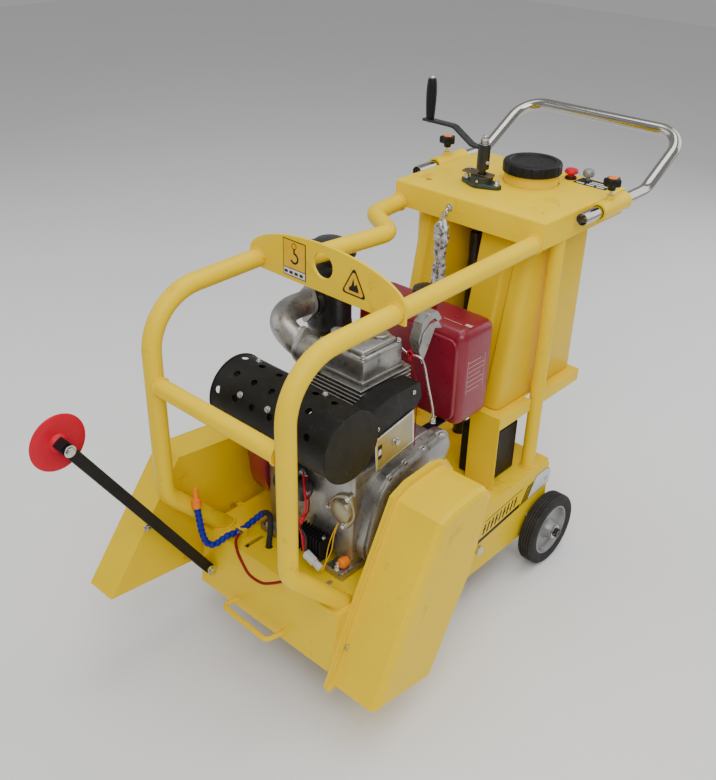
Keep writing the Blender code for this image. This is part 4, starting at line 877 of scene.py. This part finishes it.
def wheels():
    x0, x1, r = 0.222, 0.266, 0.1
    for side, sign in (("left", -1.0), ("right", 1.0)):
        def spun(profile, axle, sides):
            return turned([(radius, sign * x) for radius, x in profile], "x", axle, sides)

        body = "rear_" + side
        tread = [(0.07, x0 + 0.003), (r - 0.009, x0 - 0.0005), (r - 0.004, x0 + 0.001),
                (r - 0.0008, x0 + 0.005)]
        for k in range(4):
            g = x0 + 0.011 + k * 0.0073
            tread += [(r, g - 0.0022), (r, g - 0.001), (r - 0.0032, g - 0.0006), (r - 0.0032, g + 0.0006),
                    (r, g + 0.001), (r, g + 0.0022)]
        tread += [(r - 0.0008, x1 - 0.005), (r - 0.004, x1 - 0.001), (r - 0.009, x1 + 0.0005),
                (0.07, x1 - 0.003)]
        piece("rear_tyre_" + side, spun(tread, REAR_AXLE, 96), RUBBER,
                body, replaces=["rear_wheel_" + side])
        hub = [(0.0135, x0 - 0.002), (0.022, x0 - 0.002), (0.022, x0 + 0.014), (0.06, x0 + 0.016),
                (0.066, x0 + 0.004), (0.0705, x0 + 0.0035), (0.0705, x1 - 0.0035), (0.067, x1 - 0.003),
                (0.0655, x1 - 0.004), (0.061, x1 - 0.016), (0.054, x1 - 0.018), (0.03, x1 - 0.016),
                (0.024, x1 - 0.01), (0.0215, x1 + 0.004), (0.0195, x1 + 0.0055), (0.0135, x1 + 0.0055)]
        piece("rear_hub_" + side, spun(hub, REAR_AXLE, 64), HUB, body)
        bearing = [(0.0135, x1 + 0.005), (0.0185, x1 + 0.005), (0.0185, x1 + 0.009), (0.0165, x1 + 0.01),
                (0.0135, x1 + 0.01)]
        piece("rear_bearing_" + side, spun(bearing, REAR_AXLE, 36), STEEL,
                body)
        end = spun([(0.0, 0.284), (0.0085, 0.284), (0.0105, 0.2865), (0.0, 0.2865)], REAR_AXLE, 28)
        pin = swept([Vector((sign * 0.2815, REAR_AXLE[0] - 0.0185, REAR_AXLE[1] + 0.004)),
                Vector((sign * 0.2815, REAR_AXLE[0] + 0.0185, REAR_AXLE[1] - 0.004))], 0.0016, 10)
        piece("axle_end_" + side, both(end, pin), STEEL, "rear_swing")

        a0, a1, q = 0.11, 0.15, 0.075
        front = [(0.0114, a0 - 0.004), (0.02, a0 - 0.004), (0.022, a0 + 0.008), (0.05, a0 + 0.01),
                (0.055, a0 + 0.001), (0.06, a0), (q - 0.002, a0 + 0.003), (q, a0 + 0.008), (q, a1 - 0.008),
                (q - 0.002, a1 - 0.003), (0.06, a1), (0.055, a1 - 0.001), (0.05, a1 - 0.01),
                (0.022, a1 - 0.008), (0.02, a1 + 0.004), (0.0114, a1 + 0.004)]
        piece("front_roller_" + side, spun(front, FRONT_AXLE, 72), RUBBER,
                "front_" + side, replaces=["front_wheel_" + side])


def guide():
    x0, x1 = -0.212, -0.193
    xm = (x0 + x1) / 2
    disc = [(0.0062, x0), (0.015, x0), (0.017, x0 + 0.003), (0.02, xm - 0.004), (0.04, xm - 0.0005),
            (0.053, xm + 0.0005), (0.0575, xm - 0.0015), (0.0595, xm - 0.0012), (0.06, xm),
            (0.059, xm + 0.0018), (0.053, xm + 0.0038), (0.04, xm + 0.0028), (0.02, xm + 0.002),
            (0.017, x1 - 0.002), (0.015, x1), (0.0062, x1)]
    piece("guide_disc", turned(disc, "x", ARM_TIP, 72), BRIGHT_RED, "guide_roller", replaces=["guide_wheel"])
    bolts = hexagon((-0.1605, *ARM_TIP), (1, 0, 0), 0.017, 0.006)
    piece("guide_tip_bolt", bolts, STEEL, "guide", edge=0.0005)
    piece("guide_pivot_bolt", hexagon((-0.1607, *ARM_PIVOT), (1, 0, 0), 0.017, 0.006), STEEL, edge=0.0005)


# ------------------------------------------------------------------ engine

def engine_block():
    bm = box((-0.112, 0.225, 0.33), (0.15, 0.48, 0.56), 0.01, 3)
    both(bm, box((-0.106, 0.236, 0.318), (0.144, 0.47, 0.345), 0.004))
    for z in (0.4, 0.44, 0.48, 0.52):
        both(bm, box((-0.1, 0.475, z), (0.138, 0.4855, z + 0.005), 0.001))
    for x0, x1 in ((-0.112, -0.062), (0.1, 0.15)):
        both(bm, box((x0, 0.196, DECK_Z + GAP), (x1, 0.515, 0.3175), 0.0025))
        both(bm, box((x0 + 0.004, 0.226, 0.316), (x1 - 0.004, 0.48, 0.34), 0.003))
    piece("engine_casting", bm, CAST, replaces=["engine_block"])
    cap = [(0.0, 0.203), (0.008, 0.203), (0.0092, 0.2045), (0.011, 0.206), (0.0125, 0.208), (0.0125, 0.218),
            (0.0105, 0.219), (0.0105, 0.2247), (0.0, 0.2247)]
    cap = turned(cap, "y", (0.136, 0.333), 36)
    both(cap, box((0.128, 0.2012, 0.3315), (0.144, 0.204, 0.3345), 0.001))
    piece("oil_filler", cap, ORANGE, "oil_lid", replaces=["oil_cap"])


def side_case():
    outline = hull(circle(CRANK, 0.092, 72) + circle((0.475, 0.52), 0.045, 40)
            + circle((0.3, 0.37), 0.062, 48))
    bm = prism(outline, "x", 0.1503, 0.17)
    small = grow(outline, -0.006)
    cover = loft([[Vector((x, *p)) for p in ring] for x, ring in ((0.17, small), (0.176, small),
            (0.1815, grow(small, -0.005)), (0.184, grow(small, -0.014)))])
    both(bm, cover)
    both(bm, turned([(0.024, 0.182), (0.041, 0.182), (0.038, 0.1858), (0.024, 0.1858)], "x", CRANK, 48))
    for i in range(6):
        a = math.tau * i / 6 + 0.3
        p0 = Vector((CRANK[0] + 0.036 * math.cos(a), CRANK[1] + 0.036 * math.sin(a)))
        p1 = Vector((CRANK[0] + 0.074 * math.cos(a), CRANK[1] + 0.074 * math.sin(a)))
        n = Vector((-math.sin(a), math.cos(a))) * 0.002
        both(bm, prism([tuple(p0 - n), tuple(p1 - n), tuple(p1 + n), tuple(p0 + n)], "x", 0.182, 0.1856))
    bm = boolean(bm, rod("x", CRANK, 0.0235, 0.14, 0.2), loose=True)
    piece("side_casting", bm, CAST, replaces=["engine_side_case"], edge=0.0008)
    spots = [(0.265, 0.34), (0.2655, 0.394), (0.29, 0.475), (0.312, 0.524), (0.36, 0.539), (0.42, 0.546),
            (0.478, 0.556), (0.508, 0.512), (0.452, 0.44), (0.43, 0.392), (0.376, 0.366), (0.318, 0.3175)]
    bolts = both(*[hexagon((0.17, y, z), (1, 0, 0), 0.0125, 0.0085) for y, z in spots])
    piece("side_case_bolts", bolts, STEEL, edge=0.0004)


def cylinder_and_head():
    centre = (0.035, 0.35)
    profile = [(0.0, 0.5603)]
    z = 0.5603
    while z < 0.652:
        profile += [(0.052, z), (0.052, z + 0.0045), (0.0695, z + 0.005), (0.07, z + 0.0065),
                (0.052, z + 0.0075)]
        z += 0.0095
    profile += [(0.052, 0.6597), (0.0, 0.6597)]
    piece("cylinder_fins", turned(profile, "z", centre, 72), CAST, replaces=["engine_cylinder"])
    bm = both(*[box((-0.05, 0.272, fin_z), (0.122, 0.43, fin_z + 0.004), 0.001, 1)
            for fin_z in [0.66 + 0.0096 * i for i in range(8)]])
    both(bm, box((-0.03, 0.29, 0.66), (0.102, 0.412, 0.735), 0.003),
            box((-0.02, 0.29, 0.72), (0.11, 0.415, 0.79), 0.008),
            box((-0.024, 0.286, 0.735), (0.114, 0.419, 0.741), 0.002),
            box((-0.01, 0.3, 0.788), (0.1, 0.405, 0.8), 0.005))
    port = [(0.0, -0.05), (0.0325, -0.05), (0.0325, 0.006), (0.028, 0.01), (0.0, 0.01)]
    breather = [(0.0, 0.79), (0.02, 0.79), (0.02, 0.804), (0.0175, 0.806), (0.0, 0.806)]
    boss = [(0.0, 0.79), (0.015, 0.79), (0.015, 0.812), (0.0125, 0.814), (0.0, 0.814)]
    both(bm, turned(port, "x", (0.29, 0.757), 40), turned(breather, "z", (0.07, 0.385), 40),
            turned(boss, "z", (0.01, 0.322), 36))
    piece("head_casting", bm, CAST, replaces=["cylinder_head"])
    bolts = both(*[hexagon((x, y, 0.7905), (0, 0, 1), 0.009, 0.006) for x in (-0.012, 0.102)
            for y in (0.298, 0.407)])
    piece("rocker_bolts", bolts, STEEL, edge=0.0004)
    plug = turned([(0.0, 0.8), (0.0085, 0.8), (0.0085, 0.826), (0.006, 0.83), (0.0, 0.83)], "z",
            (0.045, 0.352), 24)
    piece("spark_plug_boot", plug, RUBBER)


def exhaust():
    y, z = MUFFLER
    bm = turned([(0.0725, 0.15), (0.0748, 0.15), (0.0748, 0.1905), (0.0765, 0.1912), (0.077, 0.1965),
            (0.0755, 0.198), (0.0, 0.198), (0.0, 0.1945), (0.0725, 0.1945)], "x", MUFFLER, 96)
    piece("shield_end", bm, SHIELD, replaces=["muffler_shield"], angle=30)
    sleeve = turned([(0.0748, -0.132), (0.0748, 0.15), (0.0732, 0.15), (0.0732, -0.132)], "x", MUFFLER, 96)
    drills = []
    for row in range(10):
        t = math.tau * row / 10 + 0.2
        for k in range(6 - row % 2):
            x = -0.112 + 0.051 * k + 0.0255 * (row % 2)
            if x > 0.148:
                continue
            away = Vector((0.0, math.cos(t), math.sin(t)))
            drills.append(toward(rod("z", (0.0, 0.0), 0.0074, -0.008, 0.008, 20),
                    Vector((x, y, z)) + away * 0.074, away))
    piece("shield_sleeve", boolean(sleeve, both(*drills)), SHIELD, angle=50)
    piece("shield_rim_a", swept(ring_path((-0.131, y, z), "x", 0.0748, 96), 0.0017, 8), SHIELD)
    duct = [(0.236, 0.65), (0.375, 0.661), (0.402, 0.688), (0.394, 0.726), (0.3, 0.732), (0.234, 0.714)]
    bm = prism(duct, "x", 0.1275, 0.1765)
    bm = boolean(bm, prism(grow(duct, -0.0025), "x", 0.12, 0.174))
    piece("duct_shield", bm, SHIELD, edge=0.002)
    pipe = swept(smooth_path([(0.1, 0.335, 0.7), (0.145, 0.33, 0.698), (0.155, 0.29, 0.69),
            (0.15, 0.225, 0.685)]), 0.017, 28)
    piece("exhaust_pipe", pipe, DARK_CAST)
    screws = both(cap_screw((0.1765, 0.262, 0.672), (1, 0, 0), 0.005, 0.004),
            cap_screw((0.1765, 0.372, 0.712), (1, 0, 0), 0.005, 0.004))
    for x, a in ((0.105, 1.28), (0.03, 2.55), (-0.085, 1.28), (-0.05, 2.55)):
        c, s = math.cos(a), math.sin(a)
        both(screws, hexagon((x, y + 0.0745 * c, z + 0.0745 * s), (0, c, s), 0.009, 0.0055))
    piece("shield_screws", screws, STEEL, edge=0.0003)
    keep("muffler", DARK_CAST, 0.001)
    bands = both(*[swept(ring_path((x, y, z), "x", 0.0632, 64), 0.0042, 10) for x in (-0.102, 0.116)])
    piece("muffler_bands", bands, STEEL)


def intake():
    port = (0.29, 0.757)
    centre = Vector((-0.182, 0.496))
    path = smooth_path([(-0.0583, *port), (-0.085, 0.288, 0.768), (-0.12, 0.293, 0.782),
            (-0.15, 0.318, 0.786), (-0.176, 0.362, 0.782), (-0.186, 0.41, 0.776), (-0.1845, 0.436, 0.774)], 8)
    bm = swept(path, 0.0285, 40)
    piece("intake_pipe", bm, CAST, replaces=["intake_elbow"])
    flange = hull(circle(port, 0.033, 40) + circle((port[0], port[1] + 0.04), 0.0105, 20)
            + circle((port[0], port[1] - 0.04), 0.0105, 20))
    flanges = prism(flange, "x", -0.064, -0.0505)
    bevel(flanges, edges_at(flanges, "x", -0.064), 0.002, 2)
    upper = prism([(p - port[0], q - port[1]) for p, q in flange], "z", 0.0, 0.008)
    both(flanges, toward(upper, path[-5], path[-3] - path[-6]))
    piece("intake_flanges", flanges, CAST, edge=0.0004)
    bolts = both(hexagon((-0.064, port[0], port[1] + 0.0405), (-1, 0, 0), 0.01, 0.007),
            hexagon((-0.064, port[0], port[1] - 0.0405), (-1, 0, 0), 0.01, 0.007))
    piece("intake_bolts", bolts, STEEL, edge=0.0003)

    c = tuple(centre)
    body = [(0.0, 0.655), (0.05, 0.655), (0.0535, 0.658), (0.0535, 0.664), (0.052, 0.667), (0.052, 0.7),
            (0.0535, 0.703), (0.0535, 0.709), (0.052, 0.712), (0.052, 0.836), (0.053, 0.838), (0.053, 0.86),
            (0.052, 0.862), (0.0535, 0.866), (0.0535, 0.875), (0.0, 0.875)]
    piece("cleaner_bowl", turned(body, "z", c, 64), BLACK, replaces=["air_cleaner"])
    lid = [(0.0, 0.875), (0.0585, 0.875), (0.0605, 0.877), (0.0605, 0.889), (0.0585, 0.893), (0.05, 0.894),
            (0.04, 0.903), (0.033, 0.9085), (0.015, 0.91), (0.0, 0.9105)]
    piece("cleaner_lid", turned(lid, "z", c, 64), BLACK)
    socket = turned([(0.0, 0.0), (0.035, 0.0), (0.035, 0.016), (0.0, 0.016)], "z", (0.0, 0.0), 40)
    piece("cleaner_inlet", toward(socket, (-0.183, 0.432, 0.7735), (0.0, 1.0, 0.0)), BLACK)


def hose_band(path, index, radius):
    a, b = path[index], path[index + 1]
    return toward(turned([(radius - 0.004, -0.005), (radius, -0.005), (radius, 0.005),
            (radius - 0.004, 0.005)], "z", (0.0, 0.0), 32), a, b - a)


def recoil_starter():
    bm = turned([(0.11, -0.1125), (0.138, -0.1125), (0.138, -0.165), (0.134, -0.17), (0.12, -0.172),
            (0.114, -0.178), (0.11, -0.201), (0.105, -0.2048), (0.03, -0.2048), (0.0, -0.2048), (0.0, -0.201),
            (0.102, -0.201), (0.106, -0.197), (0.109, -0.174), (0.114, -0.169), (0.13, -0.166),
            (0.134, -0.16), (0.134, -0.1165), (0.11, -0.1165)], "x", CRANK, 96)
    holes = both(*[rod("x", hole, 0.005, -0.215, -0.195, 8) for r0, count in ((0.092, 30), (0.068, 22),
            (0.044, 14)) for hole in circle(CRANK, r0, count)])
    bm = boolean(bm, holes)
    piece("starter_housing", bm, RED, replaces=["flywheel_shroud"], angle=40)
    piece("starter_ring", swept(ring_path((-0.169, *CRANK), "x", 0.1215, 96), 0.0026, 8), STEEL)
    rope = turned([(0.0, 0.0), (0.006, 0.0), (0.011, 0.006), (0.012, 0.02), (0.0, 0.022)], "z", (0, 0), 24)
    piece("starter_grip", toward(rope, (-0.176, 0.487, 0.52), (-0.25, 0.8, 0.5)), RUBBER)


def fuel_tank():
    x0, x1, y0, y1, z0, z1 = -0.15, 0.165, 0.552, 0.676, 0.53, 0.772
    bm = box((x0, y0, z0), (x1, y1, z1), 0.024, 6)
    step = [(x0 + 0.018, z0 + 0.022), (x1 - 0.012, z0 + 0.016), (x1 - 0.012, z1 - 0.02),
            (x0 + 0.018, z1 - 0.02)]
    panel = rounded(step, [0.026] * 4, 6)
    raised = prism(panel, "y", y0 - 0.006, y0 + 0.01)
    bevel(raised, edges_at(raised, "y", y0 - 0.006), 0.004, 4)
    both(bm, raised)
    fold = prism([(0.02, z0 + 0.095), (x1 - 0.03, z0 + 0.075), (x1 - 0.03, z0 + 0.079), (0.02, z0 + 0.099)],
            "y", y0 - 0.0075, y0)
    both(bm, fold)
    neck = turned([(0.02, z1 - 0.01), (0.026, z1 - 0.01), (0.026, 0.7995), (0.02, 0.7995)], "z",
            (0.012, 0.61), 48)
    both(bm, neck)
    piece("fuel_shell", bm, RED, replaces=["fuel_tank"], angle=40)
    lines = []
    for i in range(7):
        wide = 0.058 if i % 3 else 0.046
        lines.append(box((x1 - GAP, 0.58, 0.619 + 0.012 * i), (x1 + 0.0003, 0.58 + wide, 0.6201 + 0.012 * i)))
    for yy in (0.577, 0.64):
        lines.append(box((x1 - GAP, yy, 0.613), (x1 + 0.0003, yy + 0.0009, 0.698)))
    lines += [box((0.08, 0.59, z1 - GAP), (0.13, 0.5912, z1 + 0.0003)),
            box((0.136, 0.592, z1 - GAP), (0.152, 0.602, z1 + 0.0003))]
    piece("fuel_print", both(*lines), PRINT)
    cap = [(0.0, 0.8003), (0.03, 0.8003), (0.0325, 0.802), (0.033, 0.805), (0.033, 0.812), (0.031, 0.8165),
            (0.024, 0.818), (0.008, 0.818), (0.006, 0.822), (0.0, 0.822)]
    bm = turned(cap, "z", (0.012, 0.61), 60)
    for half_turns in range(2):
        ear = box((-0.006, 0.026, 0.803), (0.006, 0.036, 0.814), 0.003)
        bmesh.ops.transform(ear, matrix=Matrix.Rotation(math.pi * half_turns, 4, "Z"), verts=ear.verts)
        bmesh.ops.translate(ear, verts=ear.verts, vec=(0.012, 0.61, 0.0))
        both(bm, ear)
    piece("fuel_lid_cap", bm, BLACK, "fuel_lid", replaces=["fuel_cap"])
    tag = both(box((0.112, 0.424, 0.756), (0.128, 0.4262, 0.764), 0.0008, 1),
            box((0.117, 0.424, 0.743), (0.124, 0.4262, 0.769), 0.0008, 1))
    piece("fuel_tag", tag, BRIGHT_RED)
    outline = [(0.452, 0.77), (0.44, 0.806), (0.452, 0.842), (0.474, 0.858), (0.5, 0.856), (0.516, 0.834),
            (0.502, 0.83), (0.49, 0.842), (0.474, 0.84), (0.462, 0.826), (0.458, 0.806), (0.468, 0.77)]
    outline = [(yy, zz - 0.02) for yy, zz in outline]
    strap = prism(outline, "x", 0.104, 0.13)
    both(strap, prism([(yy, zz - 0.022) for yy, zz in outline[:6]] + [(0.49, 0.8), (0.47, 0.76)], "x", 0.13,
            0.1325))
    piece("tank_bracket", strap, CAST, edge=0.0012)
    support = [(0.486, 0.468), (0.489, 0.468), (0.489, 0.5264), (0.64, 0.5264), (0.64, 0.5296),
            (0.486, 0.5296)]
    straps = both(*[prism(support, "x", x - 0.013, x + 0.013) for x in (-0.08, 0.02, 0.11)])
    piece("tank_supports", straps, BLACK, edge=0.0006)
    bolts = both(*[hexagon((x, 0.489, 0.482), (0, 1, 0), 0.01, 0.007) for x in (-0.08, 0.02, 0.11)])
    piece("tank_support_bolts", bolts, STEEL, edge=0.0003)
    pipe = swept(smooth_path([(0.04, 0.4, 0.806), (0.06, 0.415, 0.795), (0.09, 0.425, 0.768),
            (0.112, 0.4265, 0.757), (0.138, 0.43, 0.757), (0.15, 0.435, 0.745), (0.158, 0.445, 0.69),
            (0.164, 0.458, 0.63), (0.162, 0.465, 0.6)]), 0.0026, 14)
    piece("fuel_pipe", pipe, STEEL)
    nuts = both(hexagon((0.162, 0.465, 0.59), (0, 0, 1), 0.01, 0.012),
            hexagon((0.04, 0.4, 0.8), (0, 0, 1), 0.012, 0.01))
    piece("fuel_pipe_nuts", nuts, STEEL, edge=0.0003)
    thin = swept(smooth_path([(0.118, 0.426, 0.755), (0.135, 0.435, 0.69), (0.142, 0.43, 0.64),
            (0.15, 0.42, 0.575), (0.162, 0.405, 0.545)]), 0.0011, 8)
    piece("control_wire", thin, HOSE_RED)


def engine_extras():
    slab = [(0.264, 0.571), (0.378, 0.591), (0.371, 0.669), (0.257, 0.648)]
    piece("heat_plate", prism(slab, "x", 0.1762, 0.1795), ZINC, edge=0.001)
    rim = boolean(prism(grow(slab, 0.002), "x", 0.1772, 0.18), prism(grow(slab, -0.003), "x", 0.17, 0.19))
    piece("heat_plate_rim", rim, STEEL, edge=0.0004)
    piece("heat_plate_bolt", hexagon((0.1795, 0.318, 0.617), (1, 0, 0), 0.013, 0.008), STEEL, edge=0.0004)
    label = prism([(0.2635, 0.596), (0.276, 0.598), (0.276, 0.632), (0.2635, 0.63)], "x", 0.1793, 0.1798)
    piece("heat_plate_label", label, LABEL_BLACK)
    label = prism([(0.2655, 0.606), (0.274, 0.6075), (0.274, 0.621), (0.2655, 0.6195)], "x", 0.1796, 0.18)
    piece("heat_plate_print", label, LABEL_WHITE)
    centre = (0.13, 0.471)
    ears = [(centre[0] + 0.04 * math.cos(t), centre[1] + 0.04 * math.sin(t)) for t in (1.15, 3.35, 4.85)]
    flange = hull(circle(centre, 0.0345, 40) + [p for ear in ears for p in circle(ear, 0.0085, 20)])
    strainer = prism(flange, "y", 0.2145, 0.225)
    bevel(strainer, edges_at(strainer, "y", 0.2145), 0.002, 3)
    both(strainer, turned([(0.0, 0.203), (0.021, 0.203), (0.0265, 0.206), (0.029, 0.212), (0.029, 0.215),
            (0.0, 0.215)], "y", centre, 48))
    piece("strainer_cover", strainer, ZINC)
    ring = both(*[hexagon((px, 0.2145, pz), (0, -1, 0), 0.0095, 0.006) for px, pz in ears])
    piece("strainer_screws", ring, STEEL)

    fins = both(*[box((x, 0.182, 0.3255), (x + 0.0026, 0.219, 0.382), 0.0008, 1)
            for x in [0.018 + 0.0092 * i for i in range(9)]])
    both(fins, box((0.017, 0.194, 0.324), (0.094, 0.219, 0.364), 0.002))
    piece("regulator", fins, PLASTIC)
    bolts = both(*[hexagon((x, 0.1985, 0.3835), (0, 0, 1), 0.007, 0.005) for x in (0.0195, 0.0915)])
    piece("regulator_bolts", bolts, STEEL)
    plug = both(box((-0.0085, -0.0075, -0.026), (0.0085, 0.0075, 0.004), 0.002),
            box((-0.007, -0.006, 0.004), (0.007, 0.006, 0.024), 0.002))
    piece("wire_plug", toward(plug, (0.088, 0.17, 0.335), (0.94, 0.0, -0.34)), WHITE)
    low_end = Vector((0.1115, 0.17, 0.3265))
    for i, bulge in enumerate((-0.004, 0.006)):
        wire = swept(smooth_path([low_end, low_end + Vector((0.005, 0.006, 0.006 + 0.006 * i)),
                (0.1165 + bulge, 0.19, 0.372), (0.1185 + bulge * 0.5, 0.198, 0.405), (0.121, 0.212, 0.435)]),
                0.0012, 8)
        piece("sensor_wire_%d" % (i + 1), wire, LABEL_YELLOW)
    starter_motor()


def starter_motor():
    """The electric starter on the engine's front, with its switch, terminals and leads."""
    centre = (0.1995, 0.478)
    case = [(0.0, -0.05), (0.014, -0.05), (0.02, -0.046), (0.0235, -0.042), (0.0235, -0.02), (0.0243, -0.019),
            (0.0243, -0.016), (0.0235, -0.015), (0.0235, 0.034), (0.021, 0.039), (0.015, 0.042), (0.0, 0.042)]
    switch = [(0.0, -0.034), (0.011, -0.034), (0.0128, -0.031), (0.0128, 0.014), (0.01, 0.018), (0.0, 0.018)]
    piece("starter_case", both(turned(case, "x", centre, 40), turned(switch, "x", (0.208, 0.5155), 32)),
            DARK_CAST)
    ends = both(hexagon((0.042, centre[0], centre[1]), (1, 0, 0), 0.01, 0.005),
            hexagon((0.018, 0.2035, 0.52), (1, 0, 0), 0.008, 0.006, 0.004),
            hexagon((0.018, 0.211, 0.51), (1, 0, 0), 0.008, 0.006, 0.004),
            cap_screw((-0.006, 0.1765, 0.472), (0, -1, 0), 0.004, 0.004))
    piece("starter_terminals", ends, STEEL, edge=0.0003)
    reach = [((0.026, 0.203, 0.52), (0.05, 0.182, 0.504), (0.06, 0.176, 0.46), (0.048, 0.17, 0.416)),
            ((0.026, 0.211, 0.51), (0.046, 0.198, 0.478), (0.052, 0.19, 0.438), (0.036, 0.176, 0.406)),
            ((-0.006, 0.1725, 0.472), (0.016, 0.156, 0.456), (0.04, 0.16, 0.424), (0.056, 0.172, 0.396))]
    for i, (mat, start) in enumerate(zip((BRIGHT_RED, HOSE_RED, GREEN), reach)):
        lead = smooth_path(list(start) + [(0.052 + 0.006 * i, 0.1725, 0.378),
                (0.058 + 0.004 * i, 0.17, 0.35)])
        piece("starter_lead_%d" % (i + 1), swept(lead, 0.0026 - 0.0006 * (i > 0), 10), mat)
    sleeve = turned([(0.0, 0.0), (0.0048, 0.0), (0.0052, 0.002), (0.0052, 0.018), (0.0, 0.02)], "z",
            (0.0, 0.0), 20)
    piece("lead_sleeve", toward(sleeve, (0.05, 0.1705, 0.422), (0.35, 0.15, 0.9)), BRIGHT_RED)


# ------------------------------------------------------------------ hoses

def free_hose(obj, path):
    """Works out a hose's path in machine coordinates and keeps nothing."""
    path = [p + SHIFT for p in path]


def hoses():
    points = [(-0.052, 0.168, 0.287), (-0.053, 0.169, 0.305), (-0.062, 0.183, 0.33), (-0.082, 0.2, 0.348),
            (-0.104, 0.202, 0.344), (-0.118, 0.182, 0.326), (-0.126, 0.15, 0.311), (-0.136, 0.118, 0.308),
            (-0.144, 0.088, 0.297), (-0.15, 0.07, 0.308), (-0.155, 0.062, 0.338), (-0.159, 0.06, 0.375),
            (-0.162, 0.058, 0.412)]
    dense = smooth_path(points, 20)
    start = 20 * 4
    tail = dense[:start + 1]
    free_hose(piece("hose_tail", swept(tail, 0.0066, 28), RUBBER), tail)
    blue = dense[start:]
    radii, travelled = [], 0.0
    for i, p in enumerate(blue):
        if i:
            travelled += (p - blue[i - 1]).length
        phase = (travelled % 0.0135) / 0.0135
        radii.append(0.0052 + 0.0028 * math.sin(math.pi * phase) ** 0.6)
    piece("coolant_line", swept(blue, radii, 28), BLUE, replaces=["coolant_hose"])
    nozzle = [(0.0, 0.41), (0.0105, 0.41), (0.0112, 0.413), (0.0112, 0.421), (0.0098, 0.424), (0.0098, 0.43),
            (0.0062, 0.433), (0.0058, 0.452), (0.0042, 0.4545), (0.0042, 0.458), (0.0, 0.458)]
    piece("nozzle_tip", turned(nozzle, "z", (-0.162, 0.058), 32), ORANGE, replaces=["coolant_nozzle"])
    points = [(-0.1152, 0.1412, 0.3165), (-0.113, 0.132, 0.3165), (-0.104, 0.115, 0.312),
            (-0.084, 0.102, 0.302), (-0.06, 0.094, 0.29), (-0.03, 0.088, 0.276), (0.01, 0.088, 0.277),
            (0.04, 0.094, 0.291), (0.066, 0.104, 0.3055), (0.094, 0.122, 0.308), (0.116, 0.14, 0.3085),
            (0.128, 0.151, 0.304), (0.13, 0.155, 0.295), (0.13, 0.156, 0.286)]
    route = smooth_path(points, 10)
    line = piece("feed_line", swept(route, 0.0034, 20), HOSE_RED, replaces=["water_feed_hose"])
    free_hose(line, route)
    piece("feed_band", hose_band(route, 4, 0.0052), STEEL)


# ------------------------------------------------------------------ assembly

def build():
    studio()
    cage()
    lifting_plate()
    chassis()
    guard_details()
    cover_details()
    console()
    push_handle()
    controls()
    crank()
    hanging_strut()
    water_tank()
    wheels()
    guide()
    engine_block()
    side_case()
    cylinder_and_head()
    exhaust()
    intake()
    recoil_starter()
    fuel_tank()
    engine_extras()
    hoses()


build()
